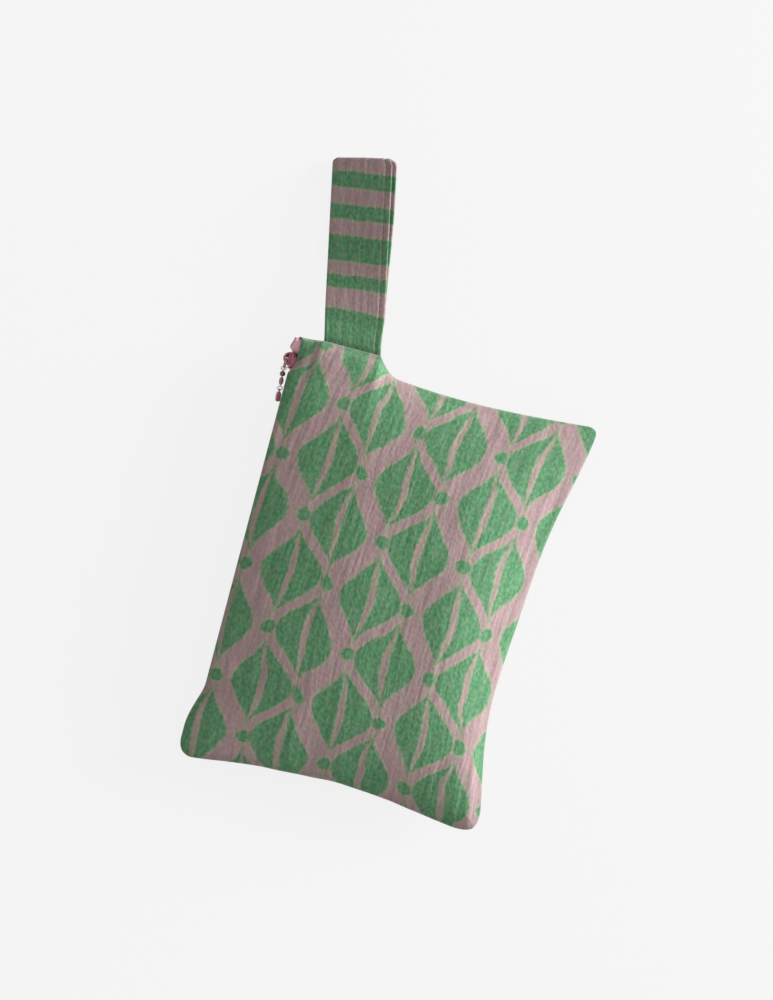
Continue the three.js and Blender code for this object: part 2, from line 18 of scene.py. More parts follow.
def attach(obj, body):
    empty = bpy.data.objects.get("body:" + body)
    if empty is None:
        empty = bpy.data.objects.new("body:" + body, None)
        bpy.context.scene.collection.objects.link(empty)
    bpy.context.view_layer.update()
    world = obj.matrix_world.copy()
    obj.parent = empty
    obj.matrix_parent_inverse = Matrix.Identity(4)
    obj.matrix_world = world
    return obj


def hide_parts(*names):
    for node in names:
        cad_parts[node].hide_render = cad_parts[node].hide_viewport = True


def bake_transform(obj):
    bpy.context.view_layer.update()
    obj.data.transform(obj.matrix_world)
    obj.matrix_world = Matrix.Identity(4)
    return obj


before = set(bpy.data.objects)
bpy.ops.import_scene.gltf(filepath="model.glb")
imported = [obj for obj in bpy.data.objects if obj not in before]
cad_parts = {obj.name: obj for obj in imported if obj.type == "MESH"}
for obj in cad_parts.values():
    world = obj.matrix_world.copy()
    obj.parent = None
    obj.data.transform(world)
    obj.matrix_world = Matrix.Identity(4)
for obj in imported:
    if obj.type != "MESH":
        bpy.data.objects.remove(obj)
log = logging.getLogger("clutch")

Array = np.ndarray
MM = 0.001
X_AXIS, Y_AXIS, Z_AXIS = np.eye(3)
IMAGE_HEIGHT = 1000
CLOTH_MAP = "cloth"
PRINT_FIELD = "print"
# Share by which painted shade darkens the cloth's colour, point by point.
PAINTED_SHADE_FIELD = "painted_shade"


class Side(Enum):
    """The two faces of the pouch."""

    FRONT = 1
    BACK = -1

    @property
    def word(self) -> str:
        """The side's word in the names of pieces."""
        return self.name.lower()


class Slot(Enum):
    """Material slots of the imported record."""

    PRINT = "printed_cotton"
    LINING = "lining_cotton"
    TAPE = "zip_tape"
    COIL = "zip_coil"
    LACQUER = "pink_lacquer"
    WIRE = "bright_wire"


def lerp(start: Array | float, end: Array | float, share: Array | float) -> Array:
    """The value that lies at a share of the way from start to end."""
    return start + (end - start) * np.asarray(share)


def smoothstep(value: Array | float, low: float, high: float) -> Array:
    """0 below low, 1 above high, and 3t^2 - 2t^3 between them."""
    t = np.clip((np.asarray(value, float) - low) / (high - low), 0.0, 1.0)
    return t * t * (3 - 2 * t)


def soft_noise(x: Array, y: Array, seed: int, cell: tuple[float, float]) -> Array:
    """Smooth noise from -1 to 1: seeded values on a lattice of cells, eased between its corners.

    Args:
        x: Places across, in millimetres.
        y: Places along, in millimetres.
        seed: Which noise.
        cell: Size of a cell across and along, in millimetres.

    Returns:
        One value for each place.
    """
    size = 256
    table = np.random.default_rng(seed).uniform(-1, 1, (size, size))
    x, y = x / cell[0], y / cell[1]
    column, row = np.floor(x).astype(int), np.floor(y).astype(int)
    across, along = smoothstep(x - column, 0, 1), smoothstep(y - row, 0, 1)
    left, right, low, high = column % size, (column + 1) % size, row % size, (row + 1) % size
    near = lerp(table[left, low], table[right, low], across)
    far = lerp(table[left, high], table[right, high], across)
    return lerp(near, far, along)


def unit(vectors: Array) -> Array:
    """The vectors at length 1."""
    return vectors / np.maximum(np.linalg.norm(vectors, axis=-1, keepdims=True), 1e-12)


def surface_normals(points: Array) -> Array:
    """Unit normals of a grid of points, as the cross product of its column and row differences."""
    return unit(np.cross(np.gradient(points, axis=1), np.gradient(points, axis=0)))


def flat_map(points: Array) -> Array:
    """Where a grid of cloth points lies on the flat cloth: lengths along its lines from their middle points.

    Args:
        points: Grid of points, rows by columns by 3.

    Returns:
        Lengths across and along, rows by columns by 2.
    """
    lengths = []
    for axis in (1, 0):
        steps = np.linalg.norm(np.diff(points, axis=axis), axis=-1)
        run = np.pad(np.cumsum(steps, axis=axis), [(int(axis == 0), 0), (int(axis == 1), 0)])
        lengths.append(run - run.take([run.shape[axis] // 2], axis=axis))
    return np.stack(lengths, axis=-1)


def line_lengths(points: Array) -> Array:
    """Length along a line of points from its first one."""
    return np.concatenate([[0], np.cumsum(np.linalg.norm(np.diff(points, axis=0), axis=1))])


def full_turn(count: int) -> Array:
    """The angles of a full turn in even steps from 0."""
    return np.linspace(0, 2 * np.pi, count, endpoint=False)


def grid_points(x: Array | float, y: Array | float, z: Array | float) -> Array:
    """Points from their x, y and z, each spread to the size of the others."""
    return np.stack(np.broadcast_arrays(x, y, z), axis=-1)


def grid_quads(rows: int, columns: int, wrap_rows: bool = False, wrap_columns: bool = False) -> Array:
    """Quads of a grid whose points are numbered row by row.

    Args:
        rows: Number of rows.
        columns: Number of columns.
        wrap_rows: Joins the last row to the first.
        wrap_columns: Joins the last column to the first.

    Returns:
        Four point numbers for each quad, columns first and then rows.
    """
    place = np.arange(rows * columns).reshape(rows, columns)
    place = np.vstack([place, place[:1]]) if wrap_rows else place
    place = np.hstack([place, place[:, :1]]) if wrap_columns else place
    corners = [place[:-1, :-1], place[:-1, 1:], place[1:, 1:], place[1:, :-1]]
    return np.stack(corners, axis=-1).reshape(-1, 4)


@dataclass
class Shape:
    """A mesh in the making: points in millimetres, faces as index arrays, and values at the points."""

    points: Array
    faces: list[Array]
    uv: Array | None = None
    fields: dict[str, Array] = field(default_factory=dict)

    def joined(self, *others: "Shape") -> "Shape":
        """This shape and others as one, without their values at the points.

        Args:
            others: Shapes to add.

        Returns:
            One shape with every point and face.
        """
        shapes = (self, *others)
        starts = np.cumsum([0, *(len(shape.points) for shape in shapes)])
        faces = [part + start for shape, start in zip(shapes, starts, strict=False) for part in shape.faces]
        return Shape(np.vstack([shape.points for shape in shapes]), faces)

    def turned(self) -> "Shape":
        """The same shape with every face turned over."""
        return Shape(self.points, [part[:, ::-1] for part in self.faces], self.uv, self.fields)

    def build(self, name: str, finish: bpy.types.Material) -> bpy.types.Object:
        """Writes the shape to a mesh object at the origin, smooth shaded.

        Args:
            name: The piece's name.
            finish: Its material.

        Returns:
            The object, linked to the scene.
        """
        mesh = bpy.data.meshes.new(name)
        loops = np.concatenate([part.ravel() for part in self.faces]).astype(np.int32)
        sizes = np.concatenate([np.full(len(part), part.shape[1]) for part in self.faces]).astype(np.int32)
        mesh.vertices.add(len(self.points))
        mesh.vertices.foreach_set("co", (self.points * MM).astype(np.float32).ravel())
        mesh.loops.add(len(loops))
        mesh.loops.foreach_set("vertex_index", loops)
        mesh.polygons.add(len(sizes))
        mesh.polygons.foreach_set("loop_start", (np.cumsum(sizes) - sizes).astype(np.int32))
        mesh.update(calc_edges=True)
        mesh.shade_smooth()
        if self.uv is not None:
            layer = mesh.uv_layers.new(name=CLOTH_MAP)
            layer.data.foreach_set("uv", (self.uv[loops] * MM).astype(np.float32).ravel())
        for key, values in self.fields.items():
            attribute = mesh.attributes.new(key, "FLOAT", "POINT")
            attribute.data.foreach_set("value", values.astype(np.float32))
        mesh.validate()
        mesh.materials.append(finish)
        piece = bpy.data.objects.new(name, mesh)
        bpy.context.scene.collection.objects.link(piece)
        return piece


def ring_stack(rings: Array, first: Array, last: Array) -> Shape:
    """A closed skin through a stack of rings, with a fan to one point at each end.

    Args:
        rings: Rings by points by 3. Seen from the last ring, their points run anticlockwise.
        first: The point that closes the first ring.
        last: The point that closes the last ring.

    Returns:
        The closed shape, its faces outwards.
    """
    count, around = rings.shape[:2]
    points = np.vstack([rings.reshape(-1, 3), first, last])
    here = np.arange(around)
    following = np.roll(here, -1)
    pole = count * around
    bottom = np.stack([following, here, np.full(around, pole)], axis=1)
    top = np.stack([here, following, np.full(around, pole + 1)], axis=1)
    top[:, :2] += (count - 1) * around
    return Shape(points, [grid_quads(count, around, wrap_columns=True), bottom, top])


def swept(path: Array, section: Array, up: Array, closed: bool = False) -> Shape:
    """A section carried along a path: path + side * section x + top * section y.

    The side is up x tangent, and the top is tangent x side.

    Args:
        path: Points of the path.
        section: Outline of the section, anticlockwise, as x and y.
        up: A direction that the path never takes, or one for each point.
        closed: Joins the end of the path to its start.

    Returns:
        A tube with closed ends, or a closed ring.
    """
    if closed:
        tangent = unit(np.roll(path, -1, axis=0) - np.roll(path, 1, axis=0))
    else:
        tangent = unit(np.gradient(path, axis=0))
    side = unit(np.cross(np.broadcast_to(up, path.shape), tangent))
    top = np.cross(tangent, side)
    rings = path[:, None] + side[:, None] * section[None, :, :1] + top[:, None] * section[None, :, 1:]
    if closed:
        quads = grid_quads(len(path), len(section), wrap_rows=True, wrap_columns=True)
        return Shape(rings.reshape(-1, 3), [quads])
    return ring_stack(rings, path[0], path[-1])


def oval_section(half_width: float, half_height: float, sides: int, power: float = 2.0) -> Array:
    """A superellipse |x/a|^p + |y/b|^p = 1, anticlockwise.

    Args:
        half_width: a, in millimetres.
        half_height: b, in millimetres.
        sides: Number of points.
        power: p, where 2 is an ellipse and more is squarer.

    Returns:
        The outline's points as x and y.
    """
    turn = full_turn(sides)
    cos, sin = np.cos(turn), np.sin(turn)
    x = half_width * np.sign(cos) * np.abs(cos) ** (2 / power)
    y = half_height * np.sign(sin) * np.abs(sin) ** (2 / power)
    return np.stack([x, y], axis=1)


def rounded_block(half: Sequence[float], middle: Sequence[float], power: float, steps: int = 28) -> Shape:
    """A superellipsoid: a block whose faces swell a little into round edges.

    Args:
        half: Half sizes along X, Y and Z.
        middle: Its middle.
        power: How square it is, where 2 is an ellipsoid.
        steps: Points round it.

    Returns:
        The closed shape.
    """
    rise = np.linspace(-np.pi / 2, np.pi / 2, steps // 2 + 1)[1:-1, None]
    outline = oval_section(1, 1, steps, power)
    wide = np.abs(np.cos(rise)) ** (2 / power)
    tall = np.sign(np.sin(rise)) * np.abs(np.sin(rise)) ** (2 / power)
    rings = grid_points(wide * outline[:, 0], wide * outline[:, 1], tall)
    shape = ring_stack(rings, -Z_AXIS, Z_AXIS)
    shape.points = shape.points * np.array(half) + np.array(middle)
    return shape


def rounded_plate(outline: Array, low: float, high: float, edge: float, dome: float = 0.0) -> Shape:
    """A plate with round edges, drawn in the YZ plane and standing along X.

    Each ring is the outline moved inwards by edge * (1 - cos t) at the height of edge * sin t. Inner
    rings shrink to the middle, and the near face swells by dome.

    Args:
        outline: Points of the plan as y and z, anticlockwise seen from +X.
        low: X of the near face.
        high: X of the far face.
        edge: Radius of the edges.
        dome: How far the middle of the near face stands out.

    Returns:
        The closed shape.
    """
    forward = np.roll(outline, -1, axis=0) - np.roll(outline, 1, axis=0)
    inward = unit(np.stack([-forward[:, 1], forward[:, 0]], axis=1))
    middle = outline.mean(axis=0)
    turns = np.linspace(-np.pi / 2, np.pi / 2, 9)
    waist = (low + high) / 2 + np.sign(turns) * ((high - low) / 2 - edge)
    rims = outline[None] + inward[None] * (edge * (1 - np.cos(turns)))[:, None, None]
    shares = np.array([0.25, 0.5, 0.75, 0.92])
    near = middle + (rims[0] - middle) * shares[:, None, None]
    far = middle + (rims[-1] - middle) * shares[::-1, None, None]
    plan = np.concatenate([near, rims, far])
    swell = dome * (1 - shares**2)
    level = np.concatenate([low - swell, waist + edge * np.sin(turns), np.full(len(shares), high)])
    rings = grid_points(level[:, None], plan[..., 0], plan[..., 1])
    return ring_stack(rings, np.array([[low - dome, *middle]]), np.array([[high, *middle]]))


def cloth_shell(
    outer: Array, inner: Array, stride: int, side: Side, flat: Array, fields: dict[str, Array] | None = None
) -> Shape:
    """A closed shell of cloth: a fine outer grid, an inner grid of every few points, and a rim.

    Each outer rim point is joined to its nearest inner rim point, so the rim is a strip of triangles.

    Args:
        outer: Grid of outer points.
        inner: Grid of inner points, of the same size.
        stride: How many outer steps an inner step spans.
        side: The front's outer face looks up, the back's looks down.
        flat: Where the grid lies on the flat cloth.
        fields: Values on the grid, by name.

    Returns:
        The shell with its map and its values.
    """
    rows, columns = outer.shape[:2]
    place = np.arange(rows * columns).reshape(rows, columns)
    kept = place[::stride, ::stride]
    points = np.vstack([outer.reshape(-1, 3), inner.reshape(-1, 3)[kept.ravel()]])
    coarse = place.size + np.arange(kept.size).reshape(kept.shape)
    outside = grid_quads(rows, columns)
    inside = place.size + grid_quads(*kept.shape)[:, ::-1]

    def rim(index: Array) -> Array:
        """Point numbers round a grid, anticlockwise from its first corner."""
        return np.concatenate([index[0, :-1], index[:-1, -1], index[-1, :0:-1], index[:0:-1, 0]])

    fine, near = rim(place), rim(coarse)
    here = ((np.arange(len(fine)) + stride // 2) // stride) % len(near)
    following, onward = np.roll(here, -1), np.roll(fine, -1)
    first = np.stack([onward, fine, near[here]], axis=1)
    turn = here != following
    second = np.stack([onward[turn], near[here[turn]], near[following[turn]]], axis=1)
    source = np.concatenate([place.ravel(), kept.ravel()])
    values = {name: value.ravel()[source] for name, value in (fields or {}).items()}
    shape = Shape(points, [outside, inside, first, second], flat.reshape(-1, 2)[source], values)
    return shape if side is Side.FRONT else shape.turned()


def linear(code: str) -> tuple[float, float, float, float]:
    """An sRGB hex colour as linear RGBA.

    Args:
        code: Six hex digits.

    Returns:
        Linear red, green and blue, and an alpha of 1.
    """
    srgb = [int(code[i : i + 2], 16) / 255 for i in (0, 2, 4)]
    light = [c / 12.92 if c <= 0.04045 else ((c + 0.055) / 1.055) ** 2.4 for c in srgb]
    return (*light, 1.0)


def add(
    tree: bpy.types.NodeTree, kind: str, links: dict | None = None, **settings: object
) -> bpy.types.Node:
    """Adds a node with its settings, and links or sets its inputs.

    Where inputs go by number, those of a Map Range are its value, the two limits that it maps from and
    the two that it maps to, and 6 and 7 of a Mix are its colours.

    Args:
        tree: The node tree.
        kind: Blender's name of the node type.
        links: For each input's name or number, the node or socket to link, or the value to set. A node
            stands for its first output in use.
        settings: The node's own properties.

    Returns:
        The node.
    """
    node = tree.nodes.new(kind)
    for key, value in settings.items():
        setattr(node, key, value)
    for socket, value in (links or {}).items():
        if isinstance(value, bpy.types.Node):
            value = next(output for output in value.outputs if output.enabled)
        if isinstance(value, bpy.types.NodeSocket):
            tree.links.new(value, node.inputs[socket])
        else:
            node.inputs[socket].default_value = value
    return node


def new_material(name: str) -> tuple[bpy.types.Material, bpy.types.NodeTree]:
    """An empty node material.

    Args:
        name: The material's name.

    Returns:
        The material and its node tree.
    """
    material = bpy.data.materials.new(name)
    material.use_nodes = True
    material.node_tree.nodes.clear()
    return material, material.node_tree


def thread_scale(thread_mm: float) -> float:
    """Scale of a wave texture with a band for each thread: at scale 1 it runs 20 radians a metre."""
    return 2 * math.pi / 20 / (thread_mm * MM)


def seen_rays(tree: bpy.types.NodeTree) -> bpy.types.Node:
    """A node that gives 1 on camera, glossy and transmission rays, and 0 on rays that only bring light.

    Args:
        tree: The node tree.

    Returns:
        The node.
    """
    path = add(tree, "ShaderNodeLightPath").outputs
    first = {0: path["Is Camera Ray"], 1: path["Is Glossy Ray"]}
    seen = add(tree, "ShaderNodeMath", first, operation="MAXIMUM")
    return add(tree, "ShaderNodeMath", {0: seen, 1: path["Is Transmission Ray"]}, operation="MAXIMUM")


@dataclass(frozen=True)
class PrintedGauze:
    """Crinkled cotton double gauze, printed green on dusty pink.

    The loose weave is matt and a little fuzzy, its threads vary in thickness, and it crinkles in streaks
    along the warp. The paste stops short of the ground, so a pale beige line edges every shape.
    """

    ground: str = "b8999e"
    grey: str = "a69c94"
    paste: str = "5ea071"
    deep_paste: str = "4c8459"
    edge: str = "c0b39f"
    fleck: str = "d9cfca"
    # Gauze has about 20 threads a centimetre, drawn nearly twice as coarse so that they show.
    thread_mm: float = 0.9
    # Sizes of the uneven places, across and along the warp.
    slub_mm: tuple[float, float] = (1.9, 2.6)
    mottle_mm: tuple[float, float] = (3.0, 8.0)
    streak_mm: tuple[float, float] = (2.6, 20.0)
    fold_mm: tuple[float, float] = (4.2, 42.0)
    flecks_a_streak: float = 2.6
    edge_blur_mm: float = 1.3
    halo_mm: tuple[float, float] = (0.1, 1.5)
    relief_mm: float = 0.18
    # How much of each colour shows where it is strongest, and of the paste where it is thinnest.
    halo_share: float = 0.42
    grey_share: float = 0.7
    deep_share: float = 0.55
    fleck_share: float = 0.16
    thin_share: float = 0.76
    # What streaks, slubs and threads add to the height of the folds, and the tones from low to high: lower
    # places are darker, partly the threads' own uneven tone and partly painted shade in the crinkles.
    streak_weight: float = 1.8
    slub_weight: float = 1.4
    weave_weight: float = 0.12
    height_run: tuple[float, float] = (1.55, 2.8)
    shade_and_tone_run: tuple[float, float] = (0.82, 1.18)
    roughness_run: tuple[float, float] = (0.84, 0.97)

    def material(self) -> bpy.types.Material:
        """Builds the material from the cloth's own map, its print field and its field of painted shade.

        Returns:
            The material.
        """
        material, tree = new_material("printed_cotton_gauze")
        cloth = add(tree, "ShaderNodeUVMap", uv_map=CLOTH_MAP)
        layers = (
            (self.streak_mm, 1.0, 1.2),
            (self.fold_mm, 1.0, 1.0),
            (self.slub_mm, 1.0, 1.3),
            (self.mottle_mm, 1.0, 2.0),
            (self.streak_mm, self.flecks_a_streak, 2.0),
        )
        noises = []
        for size, finer, detail in layers:
            scale = (*(finer / (mm * MM) for mm in size), 1.0)
            spot = add(tree, "ShaderNodeMapping", {"Vector": cloth, "Scale": scale})
            noises.append(add(tree, "ShaderNodeTexNoise", {"Vector": spot, "Scale": 1.0, "Detail": detail}))
        streak, fold, slub, mottle, specks = noises
        thread_links = {
            "Vector": cloth,
            "Scale": thread_scale(self.thread_mm),
            "Distortion": 1.6,
            "Detail": 1.0,
            "Detail Scale": 1.3,
        }
        weft = add(tree, "ShaderNodeTexWave", thread_links, bands_direction="Y").outputs["Fac"]
        warp = add(tree, "ShaderNodeTexWave", thread_links, bands_direction="X").outputs["Fac"]
        weave = add(tree, "ShaderNodeMath", {0: weft, 1: warp}, operation="MAXIMUM")

        place = add(tree, "ShaderNodeAttribute", attribute_name=PRINT_FIELD).outputs["Fac"]
        wander = add(tree, "ShaderNodeMath", {0: slub, 1: 1.0, 2: -0.5}, operation="MULTIPLY_ADD")
        edge_at = add(tree, "ShaderNodeMath", {0: place, 1: wander}, operation="ADD")
        ink_links = {0: edge_at, 1: -self.edge_blur_mm, 2: self.edge_blur_mm, 3: 1.0, 4: 0.0}
        inked = add(tree, "ShaderNodeMapRange", ink_links, interpolation_type="SMOOTHSTEP")
        off = add(tree, "ShaderNodeMath", {0: edge_at}, operation="ABSOLUTE")
        near, far = self.halo_mm
        halo_links = {0: off, 1: near, 2: far, 3: self.halo_share, 4: 0.0}
        halo = add(tree, "ShaderNodeMapRange", halo_links, interpolation_type="SMOOTHSTEP")
        pores = add(tree, "ShaderNodeMath", {0: slub, 1: 0.35, 2: mottle}, operation="MULTIPLY_ADD")
        cover = add(tree, "ShaderNodeMapRange", {0: pores, 1: 0.55, 2: 0.95, 3: 1.0, 4: self.thin_share})
        paste = add(tree, "ShaderNodeMath", {0: inked, 1: cover}, operation="MULTIPLY")

        greyed = add(tree, "ShaderNodeMapRange", {0: mottle, 1: 0.38, 2: 0.66, 3: 0.0, 4: self.grey_share})
        ground_links = {0: greyed, 6: linear(self.ground), 7: linear(self.grey)}
        ground = add(tree, "ShaderNodeMix", ground_links, data_type="RGBA")
        depth = add(tree, "ShaderNodeMapRange", {0: slub, 1: 0.36, 2: 0.64, 3: self.deep_share, 4: 0.0})
        green_links = {0: depth, 6: linear(self.paste), 7: linear(self.deep_paste)}
        green = add(tree, "ShaderNodeMix", green_links, data_type="RGBA")
        dyed = add(tree, "ShaderNodeMix", {0: paste, 6: ground, 7: green}, data_type="RGBA")
        edged = add(tree, "ShaderNodeMix", {0: halo, 6: dyed, 7: linear(self.edge)}, data_type="RGBA")
        speck = add(tree, "ShaderNodeMapRange", {0: specks, 1: 0.62, 2: 0.74, 3: 0.0, 4: self.fleck_share})
        flecked = add(tree, "ShaderNodeMix", {0: speck, 6: edged, 7: linear(self.fleck)}, data_type="RGBA")

        height = fold
        weights = ((streak, self.streak_weight), (slub, self.slub_weight), (weave, self.weave_weight))
        for layer, weight in weights:
            height = add(tree, "ShaderNodeMath", {0: layer, 1: weight, 2: height}, operation="MULTIPLY_ADD")
        # Lower places of the folds get a darker colour: the threads' uneven tone together with painted shade
        # in the crinkles.
        (low, high), (dark, light) = self.height_run, self.shade_and_tone_run
        shade_and_tone = add(tree, "ShaderNodeMapRange", {0: height, 1: low, 2: high, 3: dark, 4: light})
        # Painted shade: the colour is darkened by the share stored in the cloth's field.
        painted_shade = add(tree, "ShaderNodeAttribute", attribute_name=PAINTED_SHADE_FIELD).outputs["Fac"]
        unshaded = add(tree, "ShaderNodeMath", {0: 1.0, 1: painted_shade}, operation="SUBTRACT")
        level = add(tree, "ShaderNodeMath", {0: shade_and_tone, 1: unshaded}, operation="MULTIPLY")
        toned = add(tree, "ShaderNodeVectorMath", {0: flecked, "Scale": level}, operation="SCALE")
        smooth, rough = self.roughness_run
        matt = add(tree, "ShaderNodeMapRange", {0: slub, 1: 0.3, 2: 0.7, 3: smooth, 4: rough})
        bump_links = {"Height": height, "Strength": 1.0, "Distance": self.relief_mm * MM}
        shader_links = {
            "Base Color": toned,
            "Roughness": matt,
            "Specular IOR Level": 0.2,
            "Sheen Weight": 0.18,
            "Sheen Roughness": 0.55,
            "Normal": add(tree, "ShaderNodeBump", bump_links),
        }
        shader = add(tree, "ShaderNodeBsdfPrincipled", shader_links)
        add(tree, "ShaderNodeOutputMaterial", {"Surface": shader})
        return material


@dataclass(frozen=True)
class PlainWeave:
    """Plainly woven cloth of one colour: the cotton lining, the polyester zip tape or a sewing thread.

    The threads show as a fine crossed relief, and the colour varies a little from thread to thread.
    """

    name: str
    colour: str
    shade: str
    # Threads are drawn up to twice as coarse as real ones so that they show.
    thread_mm: float
    slant: float = 0.0
    slubs_a_thread: float = 0.6
    relief_share: float = 0.25
    roughness: float = 0.85
    rough_spread: float = 0.06
    sheen: float = 0.15

    def material(self) -> bpy.types.Material:
        """Builds the material from the cloth's own map, its threads turned by the slant in degrees.

        Returns:
            The material.
        """
        material, tree = new_material(self.name)
        cloth = add(tree, "ShaderNodeUVMap", uv_map=CLOTH_MAP)
        turn = (0.0, 0.0, math.radians(self.slant))
        turned = add(tree, "ShaderNodeMapping", {"Vector": cloth, "Rotation": turn})
        scale = thread_scale(self.thread_mm)
        thread_links = {"Vector": turned, "Scale": scale, "Distortion": 0.8, "Detail": 1.0}
        weft = add(tree, "ShaderNodeTexWave", thread_links, bands_direction="Y").outputs["Fac"]
        warp = add(tree, "ShaderNodeTexWave", thread_links, bands_direction="X").outputs["Fac"]
        weave = add(tree, "ShaderNodeMath", {0: weft, 1: warp}, operation="MULTIPLY")
        slubs = self.slubs_a_thread / (self.thread_mm * MM)
        slub_links = {"Vector": turned, "Scale": slubs, "Detail": 2.0}
        slub = add(tree, "ShaderNodeTexNoise", slub_links)
        relief = add(tree, "ShaderNodeMath", {0: weave, 1: slub}, operation="ADD")
        share = add(tree, "ShaderNodeMapRange", {0: relief, 1: 0.25, 2: 1.35})
        colour_links = {0: share, 6: linear(self.shade), 7: linear(self.colour)}
        low, high = self.roughness - self.rough_spread, self.roughness + self.rough_spread
        deep = self.relief_share * self.thread_mm * MM
        bump_links = {"Height": relief, "Strength": 0.8, "Distance": deep}
        shader_links = {
            "Base Color": add(tree, "ShaderNodeMix", colour_links, data_type="RGBA"),
            "Roughness": add(tree, "ShaderNodeMapRange", {0: slub, 1: 0.3, 2: 0.7, 3: low, 4: high}),
            "Specular IOR Level": 0.25,
            "Sheen Weight": self.sheen,
            "Sheen Roughness": 0.5,
            "Normal": add(tree, "ShaderNodeBump", bump_links),
        }
        shader = add(tree, "ShaderNodeBsdfPrincipled", shader_links)
        add(tree, "ShaderNodeOutputMaterial", {"Surface": shader})
        return material


@dataclass(frozen=True)
class Lacquer:
    """Coloured lacquer or nylon on a small moulded piece: an even colour under a soft gloss.

    Die-cast zinc gets a thick dipped coat, which pools a little and is rubbed duller where fingers hold
    it. With no coat the same finish stands for the drawn nylon of the zip's coil, and as metal for wire
    and spring steel.
    """

    name: str
    colour: str
    rubbed: str
    roughness: float = 0.34
    rough_spread: tuple[float, float] = (-0.07, 0.1)
    coat: float = 0.5
    metal: float = 0.0
    cloud_mm: float = 1.6
    grains_a_cloud: float = 8.0
    relief_mm: float = 0.03

    def material(self) -> bpy.types.Material:
        """Builds the material on Object coordinates, from one noise of clouds and one of fine grain.

        Returns:
            The material.
        """
        material, tree = new_material(self.name)
        spot = add(tree, "ShaderNodeTexCoord").outputs["Object"]
        cloud_links = {"Vector": spot, "Scale": 1 / (self.cloud_mm * MM), "Detail": 3.0}
        cloud = add(tree, "ShaderNodeTexNoise", cloud_links)
        grain_links = {"Vector": spot, "Scale": self.grains_a_cloud / (self.cloud_mm * MM), "Detail": 2.0}
        grain = add(tree, "ShaderNodeTexNoise", grain_links)
        share = add(tree, "ShaderNodeMapRange", {0: cloud, 1: 0.38, 2: 0.68})
        colour_links = {0: share, 6: linear(self.colour), 7: linear(self.rubbed)}
        smooth, rough = (self.roughness + spread for spread in self.rough_spread)
        gloss_links = {0: cloud, 1: 0.3, 2: 0.7, 3: smooth, 4: rough}
        bump_links = {"Height": grain, "Strength": 0.25, "Distance": self.relief_mm * MM}
        shader_links = {
            "Base Color": add(tree, "ShaderNodeMix", colour_links, data_type="RGBA"),
            "Roughness": add(tree, "ShaderNodeMapRange", gloss_links),
            "Metallic": self.metal,
            "Coat Weight": self.coat,
            "Coat Roughness": 0.16,
            "Normal": add(tree, "ShaderNodeBump", bump_links),
        }
        shader = add(tree, "ShaderNodeBsdfPrincipled", shader_links)
        add(tree, "ShaderNodeOutputMaterial", {"Surface": shader})
        return material


class Finish(Enum):
    """The finishes of the clutch's pieces."""

    GAUZE = PrintedGauze()
    # Plain cotton, closely woven and dyed: an even matt pink with a faint crossed grain.
    LINING = PlainWeave("plain_cotton_lining", "c9a5a9", "b58f95", 0.7)
    # Polyester woven on the slant: a paler, smoother pink with fine slanting ribs, paler still as painted
    # light where the tape lies in the pouch's shade.
    TAPE = PlainWeave("woven_polyester_tape", "eebdc8", "dea6b4", 0.75, slant=45, roughness=0.7)
    # Twisted cotton: a matt brownish grey, darker than the cloth, with the lines of its twist.
    THREAD = PlainWeave("cotton_thread", "94807a", "7d6a66", 0.3, slant=30)
    # Nylon wire, dyed through and drawn: an even pink with a soft gleam along each turn.
    NYLON = Lacquer("drawn_nylon", "b87383", "a45e70", roughness=0.4, coat=0.0)
    # Die-cast zinc dipped in lacquer: a deep, even rose under a soft gloss.
    CASTING = Lacquer("rose_lacquered_zinc", "bc5c76", "a84e68")
    # The same dipped zinc in a paler copy of its rose: painted light over the whole bridge.
    LIT_BRIDGE = Lacquer("painted_light_rose_lacquer", "c47e8e", "b06c7c")
    # Spring steel in a dark brownish colour, which is painted shade in the hollow under the bridge: a dull
    # metal that only glints at its edges.
    SHADE_STEEL = Lacquer("painted_shade_dark_steel", "4a3438", "3a282c", roughness=0.45, coat=0.0, metal=1.0)
    # Bent wire under a thin pale lacquer: a light pink line with a soft gloss.
    RING = Lacquer("pale_pink_lacquered_wire", "c48c9a", "b07a88")
    # Drawn wire plated with nickel: a bright, narrow gleam.
    WIRE = Lacquer("bright_nickel_wire", "d8d4d0", "bdb6b0", roughness=0.22, coat=0.0, metal=1.0)
    # Turned beads under a clear gloss, one deep and one pale: each shows a small round highlight.
    ROUND_BEAD = Lacquer("deep_rose_lacquer_bead", "8c5c66", "7c4e58", roughness=0.25)
    OVAL_BEAD = Lacquer("rose_lacquer_bead", "c09aa2", "ac8690", roughness=0.25)
    # A cast tab under the same glossy lacquer: flat faces of an even pink and bright edges.
    TAB = Lacquer("rose_lacquered_tab", "cc8092", "b86e80", roughness=0.3)


Materials = dict[Finish, bpy.types.Material]


@dataclass(frozen=True)
class PaleFloor:
    """Matt pale paper. The camera sees it near its own colour, with a share of its shaded light."""

    colour: str = "ffffff"
    seen: float = 0.944
    shaded_share: float = 0.12

    def material(self) -> bpy.types.Material:
        """Builds the material: camera, glossy and transmission rays see mostly an even glow.

        Returns:
            The material.
        """
        material, tree = new_material("matt_pale_paper")
        paper = add(tree, "ShaderNodeBsdfDiffuse", {"Color": linear(self.colour)})
        glow = add(tree, "ShaderNodeEmission", {"Strength": self.seen})
        share_links = {0: seen_rays(tree), 1: 1 - self.shaded_share}
        share = add(tree, "ShaderNodeMath", share_links, operation="MULTIPLY")
        mixed = add(tree, "ShaderNodeMixShader", {0: share, 1: paper, 2: glow})
        add(tree, "ShaderNodeOutputMaterial", {"Surface": mixed})
        return material


